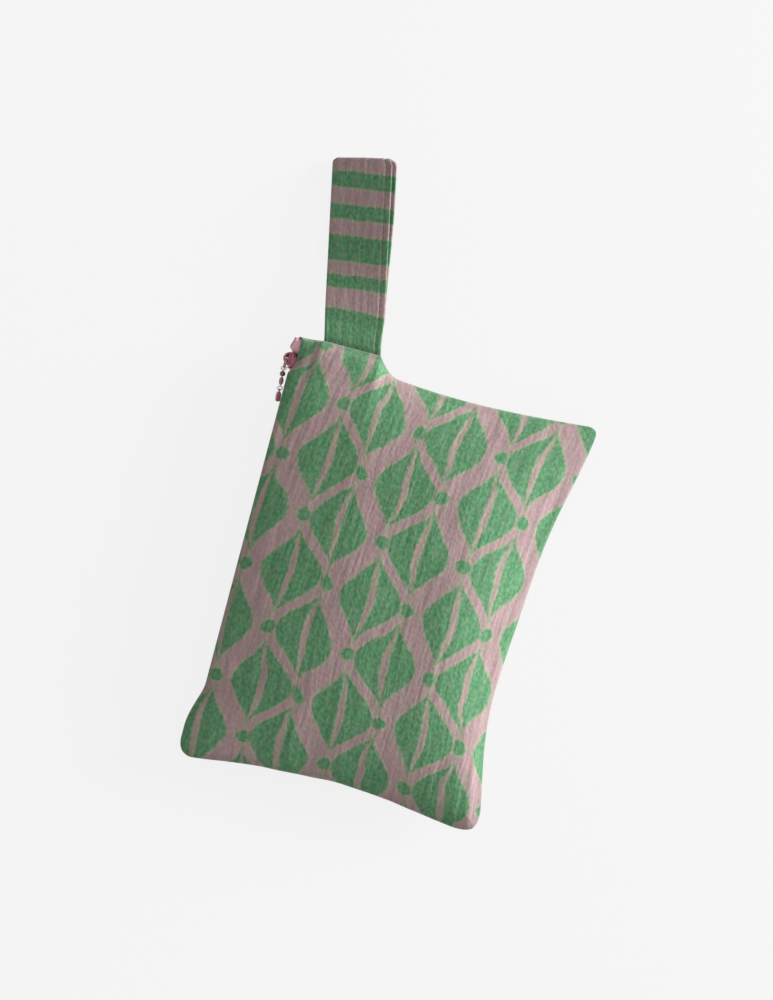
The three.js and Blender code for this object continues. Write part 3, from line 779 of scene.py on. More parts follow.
@dataclass(frozen=True)
class LeafPrint:
    """A half-drop repeat of bold pointed leaves, a rib left open in each, with dots between their tips."""

    across: float = 50.0
    along: float = 68.0
    leaf_half: float = 18.5
    leaf_length: float = 59.0
    bend: float = 3.2
    rib_half: float = 1.6
    rib_length: float = 22.0
    dot_radius: float = 4.6
    wander: float = 0.9
    wander_cell: tuple[float, float] = (9.0, 9.0)

    def distance(self, x: Array, y: Array) -> Array:
        """How far places on the cloth are outside the green, in millimetres, and below 0 inside it.

        A leaf's half width is leaf_half * (1 + cos(2 pi y / leaf_length)) / 2, which gives it two ogee
        points, and its axis bends as a cosine, one way in every other column. The distance across is
        divided by the edge's slope, so it is nearly the true one.

        Args:
            x: Places across the cloth.
            y: Places along the cloth.

        Returns:
            One distance for each place.
        """
        x = x + self.wander * soft_noise(x, y, 11, self.wander_cell)
        y = y + self.wander * soft_noise(x, y, 12, self.wander_cell)
        green = np.full(x.shape, np.inf)
        for shift in (0.0, 0.5):
            dx = (x / self.across - shift + 0.5) % 1 * self.across - self.across / 2
            dy = (y / self.along - shift + 0.5) % 1 * self.along - self.along / 2
            turn = 2 * np.pi * dy / self.leaf_length
            dx = dx - self.bend * (1 - 4 * shift) * np.cos(turn / 2)
            tip = np.abs(dy) - self.leaf_length / 2
            half = self.leaf_half * (1 + np.cos(turn)) / 2
            slope = self.leaf_half * np.pi / self.leaf_length * np.sin(turn)
            leaf = np.where(tip < 0, (np.abs(dx) - half) / np.hypot(1, slope), np.hypot(dx, tip))
            rib = np.abs(dx) - self.rib_half * (1 - (dy / self.rib_length) ** 2)
            dot = np.hypot(dx, self.along / 2 - np.abs(dy)) - self.dot_radius
            green = np.minimum(green, np.minimum(np.maximum(leaf, -rib), dot))
        return green


@dataclass(frozen=True)
class BandPrint:
    """Plain cross bands of the strap, as stretches along it, a little aslant."""

    bands: tuple[tuple[float, float], ...] = (
        (-6.0, 20.0),
        (31.6, 40.5),
        (47.8, 64.0),
        (72.6, 82.3),
        (91.5, 102.0),
    )
    slant: float = 0.09
    wander: float = 0.35
    wander_cell: tuple[float, float] = (6.0, 6.0)

    def distance(self, along: Array, across: Array) -> Array:
        """How far places on the strap are outside the green bands, below 0 inside them.

        Args:
            along: Places along a ply from the seam.
            across: Places across the strap.

        Returns:
            One distance for each place.
        """
        wander = self.wander * soft_noise(along, across, 13, self.wander_cell)
        place = along + self.slant * across + wander
        gaps = [np.abs(place - (low + high) / 2) - (high - low) / 2 for low, high in self.bands]
        return np.minimum.reduce(gaps)


@dataclass(frozen=True)
class Swell:
    """A broad swell in the cloth, or a dent where its lift is below 0."""

    x: float
    y: float
    reach_x: float
    reach_y: float
    lift: float

    def height(self, x: Array, y: Array) -> Array:
        """Lift times exp(-dx^2 - dy^2), with dx and dy as shares of the reach."""
        return self.lift * np.exp(-(((x - self.x) / self.reach_x) ** 2) - ((y - self.y) / self.reach_y) ** 2)


@dataclass
class PouchForm:
    """Sizes of the pouch in millimetres, and the formulas of its outline and its swell."""

    width: float = 182.0
    length: float = 246.0
    front_rise: float = 21.0
    seam_height: float = 13.0
    front_fullness: float = 0.955
    back_fullness: float = 1.5
    side_roundness: float = 0.61
    end_roundness: float = 0.49
    swells: tuple[Swell, ...] = (
        Swell(-68.0, 62.0, 26.0, 32.0, -1.8),
        Swell(8.0, 0.0, 26.0, 50.0, -0.9),
        Swell(46.0, -10.0, 24.0, 75.0, 2.0),
        Swell(82.0, 20.0, 24.0, 80.0, -1.8),
        Swell(80.0, -100.0, 26.0, 32.0, 2.8),
    )
    swell_margin: float = 0.08
    zip_draw_in: float = 4.4
    zip_corner_flare: float = 3.0
    flare_run: float = 36.0
    base_draw_in: float = 13.7
    base_bow: tuple[float, float] = (1.2, 1.18)
    base_lean: tuple[float, float] = (4.9, -2.5)
    base_ripple: float = 1.26
    strap_edge_lean: float = 4.0
    strap_edge_drop: float = 2.5
    strap_edge_draw_in: float = 7.0
    far_edge_drop: float = 4.5
    far_edge_draw_in: float = 8.2
    far_edge_sag: float = 3.0
    seam_wander: float = 0.95
    seam_wander_cell: tuple[float, float] = (16.0, 1.0)
    corner_run: float = 6.0
    zip_corner_run: float = 10.5
    far_corner_run: float = 18.0
    lip_reach: float = 54.0
    strap_x: float = -55.1
    strap_seam: float = 129.4
    strap_half: float = 17.3
    zip_shoulder: float = 48.0
    base_shoulder: float = 14.0
    tail_swell: float = 2.1
    tail_run: float = 5.0
    tail_from: float = 0.8
    seam_gap: float = 0.02
    zip_tilt: float = math.radians(10)
    zip_top: float = 125.5
    zip_end: float = -74.5
    end_closing: float = 14.0
    mouth_half: float = 5.5
    lip_over: float = 2.3
    corner_setback: float = 3.2
    setback_run: tuple[float, float] = (103.5, 112.5)

    @property
    def half_width(self) -> float:
        """Half the width between the corners."""
        return self.width / 2

    @property
    def half_length(self) -> float:
        """Half the length between the corners."""
        return self.length / 2

    @property
    def zip_line(self) -> float:
        """X of the zip."""
        return self.zip_draw_in - self.half_width

    @property
    def strap_corner(self) -> float:
        """Y of the corner between the zip and the strap seam."""
        return self.half_length + self.strap_edge_lean

    @property
    def far_corner(self) -> float:
        """Y of the corner between the zip and the far seam."""
        return -self.half_length - self.far_edge_drop

    def width_share(self, x: Array) -> Array:
        """0 at the zip and 1 at the base seam."""
        return np.clip((x - self.zip_line) / (self.half_width - self.zip_line), 0, 1)

    def near_strap(self, x: Array) -> Array:
        """1 where the strap is sewn in, falling to 0 beside it as the square of the share that is left."""
        run = np.where(x < self.strap_x, self.zip_shoulder, self.base_shoulder)
        return (1 - np.clip((np.abs(x - self.strap_x) - self.strap_half) / run, 0, 1)) ** 2

    def strap_edge(self, x: Array) -> Array:
        """Y of the strap seam: a leaning chord that bows in by a sine.

        Args:
            x: Places across the pouch.

        Returns:
            One Y for each place.
        """
        share = self.width_share(x)
        chord = self.half_length + lerp(self.strap_edge_lean, -self.strap_edge_drop, share)
        return chord - self.strap_edge_draw_in * np.sin(np.pi * share)

    def far_edge(self, x: Array) -> Array:
        """Y of the far seam: a chord that bows in by a sine, sags at the base end and wanders a little.

        Args:
            x: Places across the pouch.

        Returns:
            One Y for each place.
        """
        share = self.width_share(x)
        bow = np.sin(np.pi * share)
        wander = self.seam_wander * soft_noise(x, 0 * x, 1065, self.seam_wander_cell) * bow
        return self.far_corner + self.far_edge_draw_in * bow - self.far_edge_sag * share + wander

    def base_edge(self, v: Array) -> Array:
        """X of the base seam: a leaning chord that bows in most below its middle, with two slow ripples.

        Args:
            v: Places from the far seam to the strap seam.

        Returns:
            One X for each place.
        """
        share = (1 - v) / 2
        low, narrow = self.base_bow
        bow = np.clip(np.sin(np.pi * share**low), 0, 1) ** narrow
        ripple = self.base_ripple * np.cos(4 * np.pi * share)
        return self.half_width + lerp(*self.base_lean, share) - self.base_draw_in * bow + ripple

    def along_zip(self, v: Array) -> Array:
        """Y of a place along the zip edge."""
        return lerp(self.far_corner, self.strap_corner, (1 + v) / 2)

    def zip_station(self, y: float) -> float:
        """The place between -1 and 1 of a Y along the zip edge."""
        return 2 * (y - self.far_corner) / (self.strap_corner - self.far_corner) - 1

    def over_strap(self, x: Array) -> Array:
        """1 where the strap's sewn end lies between the panels, 0 beside it."""
        return 1 - smoothstep(np.abs(x - self.strap_x), self.strap_half, self.strap_half + self.tail_run)

    def mouth_opening(self, y: Array) -> Array:
        """1 along the zip, 0 where the panels are sewn together."""
        top = 1 - smoothstep(y, self.zip_top, self.strap_corner)
        return top * smoothstep(y, self.zip_end - self.end_closing, self.zip_end)

    def zip_course(self, y: Array) -> Array:
        """X of the line that the zip follows, which flares out to the far corner."""
        flare = self.zip_draw_in + self.zip_corner_flare
        return self.zip_line - flare * smoothstep(self.zip_end - y, 0, self.flare_run)

    def zip_edge(self, side: Side, y: Array) -> Array:
        """X of a panel's zip edge, which leans back with the zip.

        The front hangs over the zip like a flap, and is set back at the strap's corner.

        Args:
            side: Front or back.
            y: Places along the zip.

        Returns:
            One X for each place.
        """
        opening = self.mouth_opening(y)
        edge = self.zip_course(y) + side.value * self.mouth_half * math.sin(self.zip_tilt) * opening
        if side is Side.FRONT:
            over = self.lip_over * smoothstep(y, self.zip_end - self.end_closing, self.zip_end)
            edge = edge - over + self.corner_setback * smoothstep(y, *self.setback_run)
        return edge

    def corner_shift(self, u: Array, v: Array) -> Array:
        """How far a round corner draws points in, along X and along Y alike.

        With dx and dy inside the two edges and a run R, it is R / 4 (1 - dx / R)^2 (1 - dy / R)^2, which
        meets both edges and the diagonal smoothly. The corner under the strap stays square.

        Args:
            u: Places from the zip to the base seam.
            v: Places from the far seam to the strap seam.

        Returns:
            A shift inwards for each place.
        """
        base_run = np.where(v < 0, self.far_corner_run, self.corner_run)
        run = np.where(u < 0, self.zip_corner_run, base_run)
        from_side = np.clip(1 - (1 - np.abs(u)) * self.half_width / run, 0, 1)
        from_end = np.clip(1 - (1 - np.abs(v)) * self.half_length / run, 0, 1)
        return np.where((u > 0) | (v < 0), run / 4 * (from_side * from_end) ** 2, 0)

    def cloth_points(self, side: Side, u: Array, v: Array, depth: float, holds_strap: bool) -> Array:
        """Points of a layer of cloth that lies depth inside the outer face.

        The layer swells as a pillow does, with (1 - u^2)^side_roundness (1 - v^2)^end_roundness. The front
        has a few broad swells and dents, and the back is pressed flat on the table.

        Args:
            side: Front or back.
            u: Places from the zip, -1, to the base seam, 1.
            v: Places from the far seam, -1, to the strap seam, 1.
            depth: How far inside the outer face.
            holds_strap: Whether the strap is sewn to this layer.

        Returns:
            The points, one for each place.
        """
        y0 = self.along_zip(v)
        x = lerp(self.zip_edge(side, y0) + depth, self.base_edge(v) - depth, (1 + u) / 2)
        grip = self.near_strap(x) * float(holds_strap)
        top = lerp(self.strap_edge(x), self.strap_seam, grip) - depth
        y = lerp(self.far_edge(x) + depth, top, (1 + v) / 2)
        shift = self.corner_shift(u, v)
        x = x - np.sign(u) * shift
        y = y - np.sign(v) * shift
        lip = np.clip(1 - (1 + u) * self.half_width / self.lip_reach, 0, 1) ** 2
        mouth = self.mouth_half * math.cos(self.zip_tilt) * self.mouth_opening(y0) * lip
        tail = self.tail_swell * self.over_strap(x) * float(holds_strap) * smoothstep(v, self.tail_from, 1)
        front = side is Side.FRONT
        rise = (self.front_rise if front else self.seam_height) - depth
        fullness = self.front_fullness if front else self.back_fullness
        puff = fullness * (1 - u * u) ** self.side_roundness * (1 - v * v) ** self.end_roundness
        height = np.minimum(rise, self.seam_gap + mouth + tail + (rise - self.seam_gap) * puff)
        if front:
            within = smoothstep(1 - np.maximum(np.abs(u), np.abs(v)), 0, self.swell_margin)
            height = height + within * sum(swell.height(x, y) for swell in self.swells)
        return grid_points(x, y, self.seam_height + side.value * height)

    def edge_distance(self, u: Array, v: Array) -> Array:
        """About how far places are from the nearest edge, in millimetres."""
        return np.minimum((1 - np.abs(u)) * self.half_width, (1 - np.abs(v)) * self.half_length)


def spread_stations(steps: int, closeness: float) -> Array:
    """Stations from -1 to 1 that lie closer together at both ends.

    Args:
        steps: Number of steps.
        closeness: 0 for even steps, 1 for those of a sine.

    Returns:
        steps + 1 stations.
    """
    even = np.linspace(-1, 1, steps + 1)
    return lerp(even, np.sin(np.pi / 2 * even), closeness)


def fit_piece(
    shape: Shape, name: str, finish: bpy.types.Material, body: str, slot: Slot, *nodes: str
) -> bpy.types.Object:
    """Builds a piece, makes it ride on a body, and hides the CAD nodes that it stands for.

    Args:
        shape: The piece's shape.
        name: Its name.
        finish: Its material.
        body: The CAD body.
        slot: Not used.
        nodes: CAD nodes that it replaces.

    Returns:
        The piece.
    """
    piece = shape.build(name, finish)
    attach(piece, body)
    if nodes:
        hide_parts(*nodes)
    log.info("%s on %s: %d faces", name, body, len(piece.data.polygons))
    return piece


@dataclass
class Pouch:
    """The sewn pouch: two printed panels and a lining behind each."""

    form: PouchForm
    cloth: float = 1.2
    lining_depth: float = 2.6
    lining: float = 0.8
    columns: int = 224
    rows: int = 304
    stride: int = 4
    closeness: float = 0.45
    back_coarseness: int = 2
    lining_columns: int = 64
    lining_rows: int = 84
    lining_stride: int = 2
    lining_closeness: float = 0.5
    crinkle: float = 0.10
    crinkle_cell: tuple[float, float] = (3.4, 34.0)
    undulation: float = 0.32
    undulation_cell: tuple[float, float] = (15.0, 48.0)
    dent: float = 0.7
    dent_cell: tuple[float, float] = (38.0, 60.0)
    pucker: float = 0.40
    pucker_fade: float = 7.0
    end_pucker_cell: tuple[float, float] = (6.5, 40.0)
    side_pucker_cell: tuple[float, float] = (40.0, 7.5)
    pressed_rim: float = 5.0
    # Painted shade along the panels' edges and at the strap's seam, and how far it reaches.
    painted_rim_shade: float = 0.17
    rim_run: float = 6.0
    painted_strap_seam_shade: float = 0.22
    painted_strap_seam_run: float = 4.0
    print_shift: tuple[float, float] = (6.0, 9.0)
    # Sizes as cut, in metres.
    panel_flat: tuple[float, float] = (0.190, 0.258)
    lining_flat: tuple[float, float] = (0.184, 0.250)

    def relief(self, across: Array, along: Array, from_edge: Array, side: Side) -> Array:
        """How far the cloth stands off its smooth form, in millimetres.

        Crinkles run along the warp, longer waves lie under them, shallow dents under those, and puckers
        stand square to the seams and die away from them as exp(-distance / pucker_fade).

        Args:
            across: Places across the flat cloth.
            along: Places along the flat cloth.
            from_edge: Distance from the nearest edge.
            side: Front or back, which crinkle differently.

        Returns:
            The height at each place.
        """
        seed = 20 if side is Side.FRONT else 40
        fine = self.crinkle * soft_noise(across, along, seed, self.crinkle_cell)
        wave = self.undulation * soft_noise(across, along, seed + 1, self.undulation_cell)
        dent = self.dent * soft_noise(across, along, seed + 2, self.dent_cell)
        ends = soft_noise(across, along, seed + 3, self.end_pucker_cell)
        sides = soft_noise(across, along, seed + 4, self.side_pucker_cell)
        pucker = self.pucker * (ends + sides) * np.exp(-from_edge / self.pucker_fade)
        return (fine + wave + dent + pucker) * smoothstep(from_edge, 0, self.pressed_rim)

    def painted_shade(self, x: Array, v: Array, from_edge: Array) -> Array:
        """How much painted shade darkens the cloth: a little along the seams, and more where the strap is
        sewn in.

        Args:
            x: X of the places.
            v: Places from the far seam to the strap seam.
            from_edge: Distance from the nearest edge.

        Returns:
            A share for each place.
        """
        rim = self.painted_rim_shade * (1 - smoothstep(from_edge, 0, self.rim_run))
        from_strap = (1 - v) * self.form.half_length
        sewn = 1 - smoothstep(from_strap, 0, self.painted_strap_seam_run)
        return rim + self.painted_strap_seam_shade * self.form.over_strap(x) * sewn

    def panel_shape(self, side: Side, print_: LeafPrint) -> Shape:
        """A printed panel as a closed shell, with its print and its painted shade.

        Args:
            side: Front or back.
            print_: The print on the cloth.

        Returns:
            The shell, its map and its fields.
        """
        coarseness = 1 if side is Side.FRONT else self.back_coarseness
        columns = spread_stations(self.columns // coarseness, self.closeness)
        u, v = np.meshgrid(columns, spread_stations(self.rows // coarseness, self.closeness))
        outer = self.form.cloth_points(side, u, v, 0.0, True)
        inner = self.form.cloth_points(side, u, v, self.cloth, True)
        flat = flat_map(outer)
        across, along = flat[..., 0], flat[..., 1]
        from_edge = self.form.edge_distance(u, v)
        lift = self.relief(across, along, from_edge, side)
        lift = lift if side is Side.FRONT else np.minimum(lift, 0)
        shift = side.value * surface_normals(outer) * lift[..., None]
        outer, inner = outer + shift, inner + shift
        right, up = self.print_shift
        fields = {
            PRINT_FIELD: print_.distance(across + right, along * side.value + up),
            PAINTED_SHADE_FIELD: self.painted_shade(outer[..., 0], v, from_edge),
        }
        return cloth_shell(outer, inner, self.stride, side, flat, fields)

    def lining_shape(self, side: Side) -> Shape:
        """A lining as a closed shell behind its panel.

        Args:
            side: Front or back.

        Returns:
            The shell and its map.
        """
        columns = spread_stations(self.lining_columns, self.lining_closeness)
        u, v = np.meshgrid(columns, spread_stations(self.lining_rows, self.lining_closeness))
        form = replace(self.form, lip_over=0.0)
        outer = form.cloth_points(side, u, v, self.lining_depth, False)
        inner = form.cloth_points(side, u, v, self.lining_depth + self.lining, False)
        return cloth_shell(outer, inner, self.lining_stride, side, flat_map(outer))

    def build(self, materials: Materials) -> None:
        """Builds the panels and linings, and gives them to the pouch body.

        Args:
            materials: The finishes' materials.
        """
        print_ = LeafPrint()
        gauze, lining = materials[Finish.GAUZE], materials[Finish.LINING]
        for side in Side:
            outer, inner = f"{side.word}_panel", f"{side.word}_lining"
            shape = self.panel_shape(side, print_)
            panel = fit_piece(shape, f"{outer}_cloth", gauze, "pouch", Slot.PRINT, outer)
            shape = self.lining_shape(side)
            inside = fit_piece(shape, f"{inner}_cloth", lining, "pouch", Slot.LINING, inner)


@dataclass
class WristStrap:
    """The wrist loop: a flat strip with a stitched edge, folded over and sewn into the end seam."""

    form: PouchForm
    length: float = 110.8
    ply: float = 1.8
    stack: float = 3.9
    zip_half: float = 17.5
    base_half: float = 18.0
    zip_corner: float = 3.2
    base_corner: float = 5.0
    seam_narrowing: float = 1.1
    narrow_run: tuple[float, float] = (4.0, 20.0)
    lean: float = math.radians(12)
    turn_run: float = 30.0
    droop_run: float = 62.0
    sewn_run: float = 12.0
    loop_bow: float = 5.5
    hinge_y: float = 131.65
    bend_run: tuple[float, float] = (-3.0, 5.0)
    tail: float = 6.0
    twist_rise: float = 7.8
    twist_run: tuple[float, float] = (-10.0, 60.0)
    settling: float = 0.5
    settling_cell: tuple[float, float] = (22.0, 30.0)
    back_peek: float = 2.6
    peek_run: tuple[float, float] = (12.0, 88.0)
    groove_inset: float = 3.3
    groove_depth: float = 0.45
    groove_half: float = 0.55
    pillow: float = 0.25
    crinkle: float = 0.07
    crinkle_cell: tuple[float, float] = (3.2, 26.0)
    step: float = 1.0
    fold_steps: int = 15
    edge_steps: int = 7
    face_steps: int = 41
    corner_share: float = 0.98
    stitch: float = 2.6
    stitch_gap: float = 0.7
    stitch_margin: float = 2.5
    stitch_steps: int = 7
    stitch_up: tuple[float, float, float] = (1.0, 0.25, 0.1)
    thread: float = 0.24
    thread_rise: float = 1.5
    thread_sunk: float = 0.6
    # Painted shade: darker towards the tip, a dark line at the seam and a darker rim on the base side.
    painted_tip_shade: float = 0.13
    painted_seam_shade: float = 0.3
    seam_line: float = 0.3
    seam_blur: float = 0.9
    painted_rim_shade: float = 0.16
    # Size as cut, in metres.
    flat: tuple[float, float] = (0.0355, 0.234)

    @property
    def tip(self) -> float:
        """Where the fold's round end starts, from the seam."""
        return self.length - self.stack / 2

    def lower(self, along: Array) -> Array:
        """Height of the underside from the seam's height: from half the stack down to the table."""
        return lerp(-self.stack / 2, -self.form.seam_height, smoothstep(along, 0, self.droop_run))

    def bow(self, along: Array) -> Array:
        """How far the plies bow apart: half a sine from the sewn run to the fold."""
        share = np.clip((along - self.sewn_run) / (self.tip - self.sewn_run), 0, 1)
        return self.loop_bow * np.sin(np.pi * share)

    def loop_line(self) -> tuple[Array, Array]:
        """The middle of the strip from the upper tail, round the fold, to the lower tail.

        Returns:
            Places along the strap with heights from the seam, and shares from 0, upper, to 1, lower.
        """
        count = int((self.tip + self.tail) / self.step)
        out = np.linspace(-self.tail, self.tip, count)
        half = self.ply / 2
        low = self.lower(out) + half
        high = self.lower(out) + self.stack + self.bow(out) - half
        turn = np.linspace(np.pi / 2, -np.pi / 2, self.fold_steps)[1:-1]
        radius = (self.stack - self.ply) / 2
        fold_along = self.tip + radius * np.cos(turn)
        fold_high = self.lower(np.array(self.tip)) + self.stack / 2 + radius * np.sin(turn)
        along = np.concatenate([out, fold_along, out[::-1]])
        height = np.concatenate([high, fold_high, low[::-1]])
        share = np.concatenate([np.zeros(count), np.linspace(0, 1, self.fold_steps)[1:-1], np.ones(count)])
        return np.stack([along, height], axis=1), share

    def half_at(self, along: Array, half: float, corner: float) -> Array:
        """How far the strip reaches to one side, rounded off at the fold's corner on that side."""
        end = np.clip((along - (self.length - corner)) / corner, 0, self.corner_share)
        return half - corner * (1 - np.sqrt(1 - end * end))

    def base_side(self, along: Array) -> Array:
        """How far the strip reaches towards the base: drawn in a little at the seam."""
        narrow = self.seam_narrowing * (1 - smoothstep(along, *self.narrow_run))
        return self.half_at(along, self.base_half, self.base_corner) - narrow

    def laid(self, along: Array, across: Array, height: Array, share: Array) -> Array:
        """Puts places on the strap into the frame.

        The strap leaves square to the seam and turns to lean over the zip corner. Towards the fold its
        base side lifts, and the lower ply slips out past the upper one.

        Args:
            along: Places along the strap from the hinge.
            across: Places across it.
            height: Heights from the seam.
            share: 0 on the upper ply and 1 on the lower.

        Returns:
            Points in the frame.
        """
        turn = self.lean * smoothstep(along, 0, self.turn_run)
        across = across + self.back_peek * share * smoothstep(along, *self.peek_run)
        run = smoothstep(along, *self.twist_run)
        lift = self.twist_rise * run * (across + self.base_half) / (2 * self.base_half)
        settle = self.settling * run * soft_noise(along, across, 61, self.settling_cell) * (1 - share)
        x = self.form.strap_x - along * math.sin(self.lean) + across * np.cos(turn)
        y = self.hinge_y + along * math.cos(self.lean) + across * np.sin(turn)
        return grid_points(x, y, self.form.seam_height + height + lift + settle)

    def strip_shape(self) -> Shape:
        """The folded strip: a flat band with round edges and a stitched groove, carried round the loop.

        Returns:
            The closed strip, its map and its fields.
        """
        flat, share = self.loop_line()
        along = flat[:, 0]
        ahead = unit(np.gradient(flat, axis=0))
        out = np.stack([-ahead[:, 1], ahead[:, 0]], axis=1)
        half = self.ply / 2
        edge = np.linspace(np.pi / 2, -np.pi / 2, self.edge_steps)
        top = grid_points(np.linspace(-1, 1, self.face_steps)[1:-1], half, 0)
        rim = grid_points(1, half * np.sin(edge), half * np.cos(edge))
        ring_x, ring_y, bulge = np.concatenate([top, rim, -top, -rim]).T
        upper = ring_y > 0
        base_side = self.base_side(along)[:, None]
        zip_side = self.half_at(along, self.zip_half, self.zip_corner)[:, None]
        across = ring_x * (np.where(ring_x > 0, base_side, zip_side) - half) + bulge
        to_groove = np.abs(across - (base_side - self.groove_inset))
        groove = self.groove_depth * np.exp(-((to_groove / self.groove_half) ** 2))
        pillow = self.pillow * (1 - ring_x**2)
        rows = np.arange(1.0, len(along) + 1)[:, None] + 0 * across
        crinkle = self.crinkle * soft_noise(across, rows, 62, self.crinkle_cell)
        offset = ring_y + (pillow + crinkle - groove) * upper
        place = flat[:, None] + out[:, None] * offset[..., None]
        points = self.laid(place[..., 0], across, place[..., 1], share[:, None] + 0 * across)
        shape = ring_stack(points, points[:1].mean(axis=1), points[-1:].mean(axis=1))
        length = line_lengths(flat)
        uv = np.stack(np.broadcast_arrays(across, length[:, None]), axis=-1)
        shape.uv = np.vstack([uv.reshape(-1, 2), [[0, 0], [0, length[-1]]]])
        bands = BandPrint().distance(np.broadcast_to(along[:, None], across.shape), across)
        # Painted shade: darker towards the tip, along the seam and on the base side's rim.
        tip_shade = self.painted_tip_shade * smoothstep(along, 0, self.length)
        sewn_in = 1 - smoothstep(along, self.seam_line - self.seam_blur, self.seam_line + self.seam_blur)
        painted_shade = np.maximum(tip_shade, self.painted_seam_shade * sewn_in)[:, None] + self.painted_rim_shade * (ring_x == 1)
        # The two points that close the ends lie in the seam, on the pink ground without painted shade.
        shape.fields = {
            PRINT_FIELD: np.concatenate([bands.ravel(), [5.0, 5.0]]),
            PAINTED_SHADE_FIELD: np.concatenate([painted_shade.ravel(), [0.0, 0.0]]),
        }
        return shape

    def stitch_shape(self) -> Shape:
        """The row of edge stitches: short threads that rise out of the groove as half a sine.

        Returns:
            The stitches as one shape.
        """
        flat, share = self.loop_line()
        run = line_lengths(flat)
        pitch = self.stitch + self.stitch_gap
        margin = self.tail + self.stitch_margin
        starts = np.arange(margin, run[-1] - margin - pitch, pitch)
        t = np.linspace(0, 1, self.stitch_steps)
        at = starts[:, None] + t[None] * self.stitch
        place = np.stack([np.interp(at, run, flat[:, k]) for k in (0, 1)], axis=-1)
        ahead = np.stack([np.interp(at, run, np.gradient(flat[:, k], run)) for k in (0, 1)], axis=-1)
        out = unit(np.stack([-ahead[..., 1], ahead[..., 0]], axis=-1))
        arch = self.thread_rise * np.sin(np.pi * t) - self.thread_sunk
        rise = self.ply / 2 - self.groove_depth + self.thread * arch
        place = place + out * rise[None, :, None]
        across = self.base_side(place[..., 0]) - self.groove_inset
        middle = self.laid(place[..., 0], across, place[..., 1], np.interp(at, run, share))
        section = oval_section(self.thread, self.thread, 6)
        stitches = [swept(line, section, np.array(self.stitch_up)) for line in middle]
        shape = stitches[0].joined(*stitches[1:])
        shape.uv = shape.points[:, :2]
        return shape

    def build(self, materials: Materials) -> None:
        """Builds the strap and its stitches in place, and hides the CAD strap and its sewn end.

        Args:
            materials: The finishes' materials.
        """
        strip = self.strip_shape().build("wrist_loop_strip", materials[Finish.GAUZE])
        stitches = self.stitch_shape().build("wrist_loop_stitches", materials[Finish.THREAD])
        for piece in (strip, stitches):
            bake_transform(piece)
            log.info("%s from pouch to strap: %d faces", piece.name, len(piece.data.polygons))
        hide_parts("wrist_strap", "strap_sewn_end")


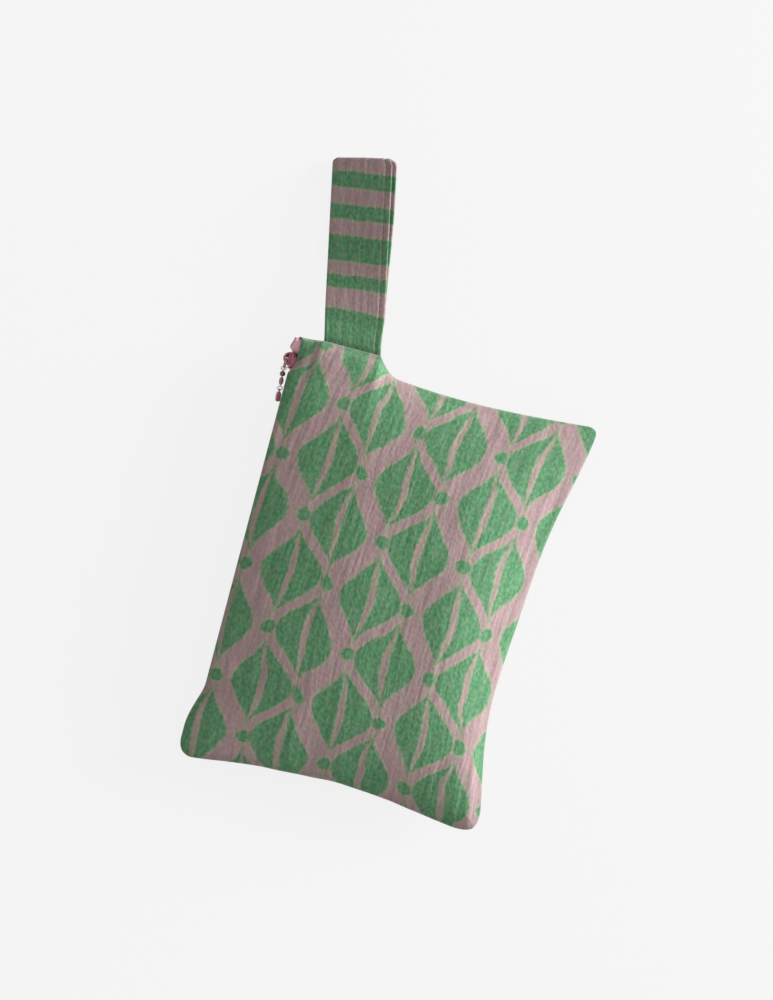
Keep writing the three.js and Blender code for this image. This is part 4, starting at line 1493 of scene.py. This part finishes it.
@dataclass
class ZipFastener:
    """The coil zip in the pouch's mouth: two tapes, two interlocked coils, and their stops."""

    form: PouchForm
    tape_depth: float = 1.5
    tape: float = 0.8
    tape_edge: float = 1.3
    tape_tuck: float = 3.6
    tape_rows: int = 261
    tape_columns: int = 9
    tape_past: float = 0.9
    joining: tuple[float, float] = (0.8, 3.2)
    joined_share: float = 0.1
    pitch: float = 2.0
    coil_back: float = 2.9
    coil_reach: float = 0.7
    coil_top: float = 2.3
    coil_floor: float = 0.3
    coil_gap: float = 0.3
    coil_squareness: float = 0.75
    coil_steps: int = 14
    wire: float = 0.33
    slider_y: float = 113.8
    slider_length: float = 11.0
    post_length: float = 4.0
    stop_length: float = 2.2
    stop_wall: float = 1.0
    stop_thinning: float = 0.8
    stop_gap: float = 0.3
    stop_steps: int = 5
    stop_bends: int = 13
    top_stop_end: float = 121.8
    bottom_stop_y: float = -73.1
    end_run: tuple[float, float] = (117.3, 120.9)
    end_splay: float = 5.6
    end_close: float = 1.5
    end_lift: float = 3.6
    end_rise: float = 0.2
    # Size of a tape as cut, in metres.
    tape_flat: tuple[float, float] = (0.0100, 0.214)

    def to_frame(self, points: Array) -> Array:
        """Turns points of the zip's own frame, whose x points into the pouch, into the model's frame.

        Args:
            points: Points of the zip's frame.

        Returns:
            The same points in the model's frame.
        """
        cos, sin = math.cos(self.form.zip_tilt), math.sin(self.form.zip_tilt)
        turn = np.array([[cos, 0, sin], [0, 1, 0], [-sin, 0, cos]])
        origin = np.array([self.form.zip_line + self.tape_depth, 0, self.form.seam_height])
        return points @ turn.T + origin

    def placed(self, shape: Shape) -> Shape:
        """A shape of the zip's own frame, in the model's frame."""
        shape.points = self.to_frame(shape.points)
        return shape

    def tape_shape(self, side: Side) -> Shape:
        """A tape: a flat band from its free edge to the mouth, then tucked in behind the panel.

        The front tape's end splays out past the stop and lies over the corner.

        Args:
            side: Front or back.

        Returns:
            The closed band and its map.
        """
        form = self.form
        low = form.zip_station(form.zip_end - self.tape_past * form.end_closing)
        v = np.linspace(low, 1.0, self.tape_rows)
        tuck = self.tape_tuck / form.half_width - 1
        y0 = form.along_zip(v)
        end = smoothstep(y0, *self.end_run) * float(side is Side.FRONT)
        top = smoothstep(y0, self.end_run[1], form.strap_corner) * end
        joined = smoothstep(y0, *(self.bottom_stop_y + run for run in self.joining))
        reach = side.value * self.tape_edge * form.mouth_opening(y0) * lerp(self.joined_share, 1, joined)
        splay = self.end_splay * end - self.end_close * top

        def layer(depth: float) -> Array:
            """The band at a depth: straight from the free edge to the rim and on to the tuck.

            Args:
                depth: How far inside the outer face.

            Returns:
                Grid of points, one row for each place along the zip.
            """
            rim = form.cloth_points(side, np.full(v.shape, -1.0), v, depth, True)
            inside = form.cloth_points(side, np.full(v.shape, tuck), v, depth, True)
            rim[:, 1] += self.end_rise * top
            edge_x = form.zip_course(y0) + depth + reach * math.sin(form.zip_tilt) - splay
            edge_z = form.seam_height + reach * math.cos(form.zip_tilt) + self.end_lift * end
            edge = grid_points(edge_x, rim[:, 1], edge_z)
            across = np.linspace(0, 1, self.tape_columns)[None, :, None]
            face = lerp(edge[:, None], rim[:, None], across)
            back = lerp(rim[:, None], inside[:, None], across[:, 1:])
            return np.concatenate([face, back], axis=1)

        outer = layer(self.tape_depth)
        return cloth_shell(outer, layer(self.tape_depth + self.tape), 1, side, flat_map(outer))

    def coil_shape(self, side: Side) -> Shape:
        """One coil: a flattened helix of nylon wire, whose heads reach past the middle of the zip.

        With turn t, across is the middle of back and reach plus half their span times cos t, out is the
        middle of floor and top plus its half height times sin t, and along falls by a pitch a turn. The
        two coils lie half a pitch apart.

        Args:
            side: Front or back.

        Returns:
            The closed wire.
        """
        start = self.slider_y - self.slider_length / 2 + self.post_length
        end = self.bottom_stop_y + self.stop_length / 2 + self.coil_gap
        turns = int((start - end) / self.pitch) - 1
        t = np.linspace(0, 2 * np.pi * turns, turns * self.coil_steps + 1)
        span = self.coil_back + self.coil_reach - 2 * self.wire
        swing = np.sign(np.cos(t)) * np.abs(np.cos(t)) ** self.coil_squareness
        across = (self.coil_back - self.coil_reach) / 2 + span / 2 * swing
        high = (self.coil_top - self.coil_floor) / 2 - self.wire
        out = (self.coil_top + self.coil_floor) / 2 + high * np.sin(t)
        shift = 0.25 if side is Side.FRONT else 0.75
        along = start - self.wire - self.pitch * (t / (2 * np.pi) + shift)
        path = grid_points(-out, along, side.value * across)
        return self.placed(swept(path, oval_section(self.wire, self.wire, 6), Y_AXIS))

    def top_stop_shape(self, side: Side) -> Shape:
        """A top stop: a flat strip bent like a U round the free edge of one tape.

        Args:
            side: Front or back.

        Returns:
            The closed clip.
        """
        half = self.stop_wall / 2
        web, back = self.tape_edge - self.stop_gap - half / 2, self.coil_back - half
        near, far = -self.stop_gap - half, self.tape + self.stop_gap + half
        turn = np.linspace(0, np.pi, self.stop_bends)[1:-1]
        middle, radius = (near + far) / 2, (far - near) / 2
        legs = np.linspace(back, web + radius, self.stop_steps)
        x = np.concatenate([near + 0 * legs, middle - radius * np.cos(turn), far + 0 * legs])
        z = np.concatenate([legs, web + radius - radius * np.sin(turn), legs[::-1]])
        path = grid_points(x, self.top_stop_end - self.stop_length / 2, side.value * z)
        section = oval_section(half * self.stop_thinning, self.stop_length / 2, 16, 4.0)
        return self.placed(swept(path, section, Y_AXIS))

    def end_stop_shape(self) -> Shape:
        """The bottom stop: a rounded block clamped over both coils.

        Returns:
            The closed block.
        """
        half = ((self.coil_top - self.coil_floor) / 2, self.stop_length / 2, self.coil_back)
        middle = (-(self.coil_top + self.coil_floor) / 2, self.bottom_stop_y, 0.0)
        return self.placed(rounded_block(half, middle, 4.5))

    def build(self, materials: Materials) -> None:
        """Builds the tapes, coils and stops, and gives them to the pouch body.

        Args:
            materials: The finishes' materials.
        """
        tape, nylon, rose = (materials[key] for key in (Finish.TAPE, Finish.NYLON, Finish.CASTING))
        for side in Side:
            word = side.word
            band = self.tape_shape(side)
            band = fit_piece(band, f"{word}_zip_tape", tape, "pouch", Slot.TAPE, f"zip_tape_{word}")
            coil = self.coil_shape(side)
            fit_piece(coil, f"{word}_zip_coil", nylon, "pouch", Slot.COIL, f"zip_teeth_{word}")
            stop = self.top_stop_shape(side)
            fit_piece(stop, f"{word}_zip_stop", rose, "pouch", Slot.LACQUER, f"top_stop_{word}")
        fit_piece(self.end_stop_shape(), "end_zip_stop", rose, "pouch", Slot.LACQUER, "bottom_stop")


@dataclass
class ZipSlider:
    """The slider: two wings on a post, side flanges, and an arched bridge for the pull."""

    zip: ZipFastener
    wing: float = 1.1
    wing_edge: float = 0.42
    wing_dome: float = 0.25
    flange: float = 0.9
    flange_past: float = 1.8
    flange_gap: float = 0.3
    flange_spread: float = 0.8
    rear_half: float = 4.1
    shoulder_half: float = 4.6
    corner: float = 1.4
    nose_half: float = 1.6
    nose_dip: float = 1.2
    post_half: float = 0.9
    post_overlap: float = 0.3
    wing_face: float = 3.7
    inner_face: float = 1.1
    bridge_span: float = 3.9
    bridge_rise: float = 4.2
    bridge_wall: float = 1.3
    bridge_width: float = 3.0
    bridge_forward: float = 0.5
    bridge_lift: float = 0.05
    boss_half: tuple[float, float, float] = (0.725, 3.9, 1.5)
    boss_sunk: float = 0.1
    lock_half: tuple[float, float] = (1.0, 0.8)
    lock_runs: tuple[tuple[float, float], ...] = ((-2.3, -0.72), (0.72, 3.0))
    lock_sunk: float = 0.25

    def wing_outline(self) -> Array:
        """Plan of a wing as y and z: square at the rear, with round shoulders and a dipped nose.

        Returns:
            The plan's points, anticlockwise seen from +X.
        """
        half = self.zip.slider_length / 2
        t = np.linspace(0, 1, 9)[:-1, None]

        def curve(a: Sequence[float], b: Sequence[float], c: Sequence[float]) -> Array:
            """A quadratic curve from a to c, drawn towards b."""
            return (1 - t) ** 2 * np.array(a) + 2 * t * (1 - t) * np.array(b) + t**2 * np.array(c)

        def straight(a: Sequence[float], b: Sequence[float], steps: int) -> Array:
            """A line from a to b in even steps, without b."""
            return lerp(np.array(a), np.array(b), np.linspace(0, 1, steps + 1)[:-1, None])

        rear, side, nose = self.rear_half, self.shoulder_half, self.nose_half
        start = -half + self.corner
        parts = [
            straight((start, -rear), (0, -side), 4),
            curve((0, -side), (half, -side), (half, -nose)),
            curve((half, -nose), (half - self.nose_dip, 0), (half, nose)),
            curve((half, nose), (half, side), (0, side)),
            straight((0, side), (start, rear), 4),
            curve((start, rear), (-half, rear), (-half, rear - self.corner)),
            straight((-half, rear - self.corner), (-half, self.corner - rear), 8),
            curve((-half, self.corner - rear), (-half, -rear), (start, -rear)),
        ]
        return np.vstack(parts) + np.array([self.zip.slider_y, 0])

    def shell_shape(self) -> Shape:
        """The wings, the post between them and the flanges at the sides, as one casting.

        Returns:
            The casting as one shape.
        """
        outline = self.wing_outline()
        middle, half, length = self.zip.slider_y, self.zip.slider_length / 2, self.zip.post_length
        outer_low = self.wing - self.wing_face
        outer = rounded_plate(outline, -self.wing_face, outer_low, self.wing_edge, self.wing_dome)
        inner = rounded_plate(outline, self.inner_face, self.inner_face + self.wing, self.wing_edge)
        post_tall = (self.inner_face - outer_low) / 2 + self.post_overlap
        post_y = middle + half - self.nose_dip - length / 2
        post_middle = ((self.inner_face + outer_low) / 2, post_y, 0)
        post = rounded_block((post_tall, length / 2, self.post_half), post_middle, 3.0)
        low, high = self.wing / 2 - self.wing_face, -self.flange_gap
        section = oval_section((high - low) / 2, self.flange / 2, 20, 4.0)
        reach = np.linspace(0, 1, 13)
        spread = smoothstep(reach, 0, self.flange_spread)
        across = lerp(self.rear_half, self.shoulder_half, spread) - self.flange / 2
        along = lerp(middle - half + self.corner, middle + self.flange_past, reach)
        paths = [grid_points((low + high) / 2, along, sign * across) for sign in (-1, 1)]
        flanges = [swept(path, section, Z_AXIS) for path in paths]
        return self.zip.placed(outer.joined(inner, post, *flanges))

    def bridge_shape(self) -> Shape:
        """The bridge: half an ellipse of flat bar that springs from a low boss on the outer wing.

        Returns:
            The bar and its boss as one shape.
        """
        turn = np.linspace(0, np.pi, 33)
        span, rise = self.bridge_span - self.bridge_wall / 2, self.bridge_rise - self.bridge_wall / 2
        x = -self.wing_face - self.bridge_lift - rise * np.sin(turn)
        y = self.zip.slider_y + self.bridge_forward + span * np.cos(turn)
        section = oval_section(self.bridge_wall / 2, self.bridge_width / 2, 20, 2.4)
        arch = swept(grid_points(x, y, 0), section, Z_AXIS)
        boss_x = self.boss_sunk - self.wing_face - self.boss_half[0]
        boss = rounded_block(self.boss_half, (boss_x, self.zip.slider_y, 0), 3.5)
        return self.zip.placed(arch.joined(boss))

    def lock_shape(self) -> Shape:
        """The lock spring under the bridge: a dark round-edged leg, painted shade, on either side of the
        pull's ring.

        Returns:
            Both legs as one shape.
        """
        out, deep = self.lock_half
        leg_x = -self.wing_face - 2 * self.boss_half[0] - out + self.lock_sunk
        legs = []
        for low, high in self.lock_runs:
            middle = (leg_x, self.zip.slider_y + (low + high) / 2, 0)
            legs.append(rounded_block((out, (high - low) / 2, deep), middle, 5.0, 20))
        return self.zip.placed(legs[0].joined(*legs[1:]))

    def build(self, materials: Materials) -> None:
        """Builds the slider's pieces and gives them to the slider body.

        Args:
            materials: The finishes' materials.
        """
        # The lock spring's dark steel is painted shade in the hollow under the bridge.
        fit_piece(self.lock_shape(), "slider_lock_spring_painted_shade", materials[Finish.SHADE_STEEL], "slider", Slot.WIRE)
        shell, bridge = self.shell_shape(), self.bridge_shape()
        # The bridge gets a paler copy of the casting's lacquer, which is painted light.
        rose, rubbed = materials[Finish.CASTING], materials[Finish.LIT_BRIDGE]
        fit_piece(shell, "slider_shell", rose, "slider", Slot.LACQUER, "slider_body")
        fit_piece(bridge, "slider_bridge", rubbed, "slider", Slot.LACQUER, "slider_crown")


@dataclass
class PullChain:
    """The zip pull: a ring through the bridge, an eye pin with two beads, and an end tab."""

    zip: ZipFastener
    droop: float = math.radians(24.5)
    lean: float = math.radians(7)
    bar_out: float = 5.75
    ring_radius: float = 2.8
    ring_straight: float = 0.5
    ring_wire: float = 0.55
    pin_wire: float = 0.35
    pin_loop: float = 1.4
    loop_turn: tuple[float, float] = (-0.46 * math.pi, 1.5 * math.pi)
    shank_gap: float = 0.4
    round_bead: float = 3.4
    oval_width: float = 2.8
    oval_length: float = 5.4
    bore_gap: float = 0.12
    gap: float = 0.3
    lug_bridge: float = 0.6
    lug: float = 0.8
    tab_thickness: float = 3.2
    tab_width: float = 4.2
    tab_length: float = 5.6
    tab_overlap: float = 0.15

    @property
    def ring_reach(self) -> float:
        """From the bar under the bridge to the ring's far wire."""
        return 2 * self.ring_radius + self.ring_straight

    @property
    def upper_loop(self) -> float:
        """Y of the pin's upper loop, from the ring's far wire."""
        return -(self.pin_loop - self.pin_wire - self.ring_wire - self.gap)

    @property
    def round_y(self) -> float:
        """Y of the round bead's middle."""
        return self.upper_loop - self.pin_loop - self.pin_wire - self.gap - self.round_bead / 2

    @property
    def oval_y(self) -> float:
        """Y of the oval bead's middle."""
        return self.round_y - self.round_bead / 2 - self.gap - self.oval_length / 2

    @property
    def lower_loop(self) -> float:
        """Y of the pin's lower loop."""
        return self.oval_y - self.oval_length / 2 - self.gap - self.pin_wire - self.pin_loop

    def hung(self, shape: Shape, level: int) -> Shape:
        """Hangs a shape of the pull's own frames on the zip.

        Args:
            shape: The shape, its y along the pull.
            level: 0 for the ring, which droops, 1 for the beads, which lean on it, 2 for the tab below.

        Returns:
            The shape in the model's frame.
        """
        place = Matrix.Translation((-self.bar_out, self.zip.slider_y, 0))
        place = place @ Matrix.Rotation(self.droop, 4, "X")
        if level > 0:
            place = place @ Matrix.Translation((0, -self.ring_reach, 0))
            place = place @ Matrix.Rotation(self.lean, 4, "Z")
        if level > 1:
            place = place @ Matrix.Translation((0, self.lower_loop - self.pin_loop, 0))
        turn = np.array(place)
        shape.points = shape.points @ turn[:3, :3].T + turn[:3, 3]
        return self.zip.placed(shape)

    def ring_shape(self) -> Shape:
        """The ring: a round wire along a stadium, in the plane of y and z.

        Returns:
            The closed ring.
        """
        turn = full_turn(72)
        y = self.ring_radius * np.sin(turn) + np.sign(np.sin(turn)) * self.ring_straight / 2
        path = grid_points(0, y - self.ring_reach / 2, self.ring_radius * np.cos(turn))
        section = oval_section(self.ring_wire, self.ring_wire, 16)
        return self.hung(swept(path, section, X_AXIS, closed=True), 0)

    def pin_shape(self) -> Shape:
        """The eye pin: one wire that closes a loop, runs down as a shank and closes a second loop.

        Returns:
            The closed wire.
        """
        turn = np.linspace(*self.loop_turn, 33)
        loop = grid_points(self.pin_loop * np.cos(turn), self.pin_loop * np.sin(turn), 0)
        upper = loop + self.upper_loop * Y_AXIS
        lower = -loop[::-1] + self.lower_loop * Y_AXIS
        reach = self.pin_loop + self.shank_gap
        shank = grid_points(0, np.linspace(self.upper_loop - reach, self.lower_loop + reach, 12), 0)
        section = oval_section(self.pin_wire, self.pin_wire, 12)
        return self.hung(swept(np.vstack([upper, shank, lower]), section, Z_AXIS), 1)

    def bead_shape(self, width: float, length: float, middle: float) -> Shape:
        """A bead: an ellipse turned about the pin, with a rounded bore.

        Args:
            width: Its width.
            length: Its length along the pin.
            middle: Y of its middle.

        Returns:
            The closed bead.
        """
        bore = self.pin_wire + self.bore_gap
        reach = math.acos(bore / (width / 2))
        angle = np.linspace(-reach, reach, 29)
        skin = np.stack([width / 2 * np.cos(angle), length / 2 * np.sin(angle)], axis=1)
        hole = np.stack([np.full(6, bore), np.linspace(skin[-1, 1], skin[0, 1], 8)[1:-1]], axis=1)
        radius, along = np.vstack([skin, hole]).T
        turn = full_turn(40)[:, None]
        points = grid_points(radius * np.cos(turn), along + middle, -radius * np.sin(turn))
        quads = grid_quads(*points.shape[:2], wrap_rows=True, wrap_columns=True)[:, ::-1]
        return self.hung(Shape(points.reshape(-1, 3), [quads]), 1)

    def tab_shape(self) -> Shape:
        """The end tab: a rounded block under a flat eye that the pin's lower loop passes through.

        Returns:
            The block and its eye as one shape.
        """
        hole = self.pin_wire + self.gap + self.gap / 3
        eye_y = -self.gap / 3
        radius = hole + self.lug_bridge / 2
        turn = full_turn(40)
        path = grid_points(0, eye_y + radius * np.cos(turn), radius * np.sin(turn))
        section = oval_section(self.lug_bridge / 2, self.lug / 2, 14, 3.0)
        eye = swept(path, section, X_AXIS, closed=True)
        top = eye_y - hole - self.lug_bridge
        half = (self.tab_thickness / 2, self.tab_length / 2, self.tab_width / 2)
        block = rounded_block(half, (0, top - self.tab_length / 2 + self.tab_overlap, 0), 4.2, 40)
        return self.hung(block.joined(eye), 2)

    def build(self, materials: Materials) -> None:
        """Builds the pull's pieces and gives each to its body.

        Args:
            materials: The finishes' materials.
        """
        round_bead = self.bead_shape(self.round_bead, self.round_bead, self.round_y)
        oval_bead = self.bead_shape(self.oval_width, self.oval_length, self.oval_y)
        pieces = (
            (self.ring_shape(), "pull_link_ring", Finish.RING, "ring", Slot.LACQUER, "pull_ring"),
            (self.pin_shape(), "pull_eye_pin", Finish.WIRE, "bead_drop", Slot.WIRE, "bead_pin"),
            (round_bead, "pull_round_bead", Finish.ROUND_BEAD, "bead_drop", Slot.LACQUER, "round_bead"),
            (oval_bead, "pull_oval_bead", Finish.OVAL_BEAD, "bead_drop", Slot.LACQUER, "oval_bead"),
            (self.tab_shape(), "pull_end_tab", Finish.TAB, "tab", Slot.LACQUER, "pull_tab"),
        )
        for shape, name, finish, body, slot, node in pieces:
            fit_piece(shape, name, materials[finish], body, slot, node)


@dataclass
class Studio:
    """The pale floor, the soft light and the camera of the photograph's view from above."""

    form: PouchForm
    view_turn: float = math.radians(14.8)
    pixels_per_mm: float = 1.70
    middle_row: float = 585.0
    distance: float = 1800.0
    sensor: float = 36.0
    clip_start: float = 0.05
    clip_end: float = 100.0
    floor_half: float = 6000.0
    floor_drop: float = 0.05
    floor_sides: int = 96
    key_from: tuple[float, float, float] = (0.859, 0.489, 0.153)
    key_distance: float = 2.2
    key_size: float = 1.0
    key_level: float = 1.88
    fill_level: float = 0.43
    fill_colour: tuple[float, float, float, float] = (1.03, 0.985, 0.97, 1.0)
    backdrop: str = "f6f6f6"

    def set_camera(self) -> None:
        """Sets the camera straight above, turned so that the pouch lies aslant as photographed."""
        right = Vector((math.cos(self.view_turn), math.sin(self.view_turn), 0))
        up = Vector((-math.sin(self.view_turn), math.cos(self.view_turn), 0))
        target = up * ((self.middle_row - IMAGE_HEIGHT / 2) / self.pixels_per_mm)
        data = bpy.data.cameras.new("view_from_above")
        data.sensor_width = self.sensor
        data.lens = self.sensor * self.distance / (IMAGE_HEIGHT / self.pixels_per_mm)
        data.clip_start = self.clip_start
        data.clip_end = self.clip_end
        camera = bpy.data.objects.new("view_from_above", data)
        place = Vector((target.x, target.y, self.form.seam_height + self.distance)) * MM
        turn = Matrix((right, up, Vector((0, 0, 1)))).transposed().to_4x4()
        camera.matrix_world = Matrix.Translation(place) @ turn
        bpy.context.scene.collection.objects.link(camera)
        bpy.context.scene.camera = camera

    def set_light(self) -> None:
        """Sets a wide low lamp on the base side and an even fill from the world.

        A lamp of P watts at d metres lights a face square to it with P / (pi d^2), and pi is the level
        at which a colour renders as written.
        """
        data = bpy.data.lights.new("window_side_softbox", "AREA")
        data.shape = "DISK"
        data.size = self.key_size
        data.energy = self.key_level * math.pi**2 * self.key_distance**2
        lamp = bpy.data.objects.new("window_side_softbox", data)
        back = Vector(self.key_from).normalized()
        lamp.location = back * self.key_distance
        lamp.rotation_euler = back.to_track_quat("Z", "Y").to_euler()
        bpy.context.scene.collection.objects.link(lamp)
        world = bpy.data.worlds.new("pale_studio")
        world.use_nodes = True
        tree = world.node_tree
        tree.nodes.clear()
        fill = add(tree, "ShaderNodeBackground", {"Color": self.fill_colour, "Strength": self.fill_level})
        shown = add(tree, "ShaderNodeBackground", {"Color": linear(self.backdrop)})
        mixed = add(tree, "ShaderNodeMixShader", {0: seen_rays(tree), 1: fill, 2: shown})
        add(tree, "ShaderNodeOutputWorld", {"Surface": mixed})
        bpy.context.scene.world = world

    def set_floor(self) -> None:
        """Lays a round floor under the pouch, a little below it so that the cloth rests on its top."""
        turn = full_turn(self.floor_sides)
        rim = grid_points(self.floor_half * np.cos(turn), self.floor_half * np.sin(turn), -self.floor_drop)
        here = np.arange(self.floor_sides)
        faces = np.stack([here, np.roll(here, -1), np.full(here.shape, self.floor_sides)], axis=1)
        points = np.vstack([rim, [[0, 0, -self.floor_drop]]])
        Shape(points, [faces]).build("studio_floor", PaleFloor().material())

    def build(self) -> None:
        """Sets the camera, the light and the floor."""
        bpy.context.scene.view_settings.view_transform = "Standard"
        self.set_camera()
        self.set_light()
        self.set_floor()


def main() -> None:
    """Builds the studio and the clutch, piece by piece."""
    logging.basicConfig(level=logging.INFO, format="%(name)s: %(message)s")
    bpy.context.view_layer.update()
    form = PouchForm()
    Studio(form).build()
    materials = {finish: finish.value.material() for finish in Finish}
    fastener = ZipFastener(replace(form, lip_over=0.0))
    for part in (Pouch(form), WristStrap(form), fastener, ZipSlider(fastener), PullChain(fastener)):
        part.build(materials)


if __name__ == "__main__":
    main()
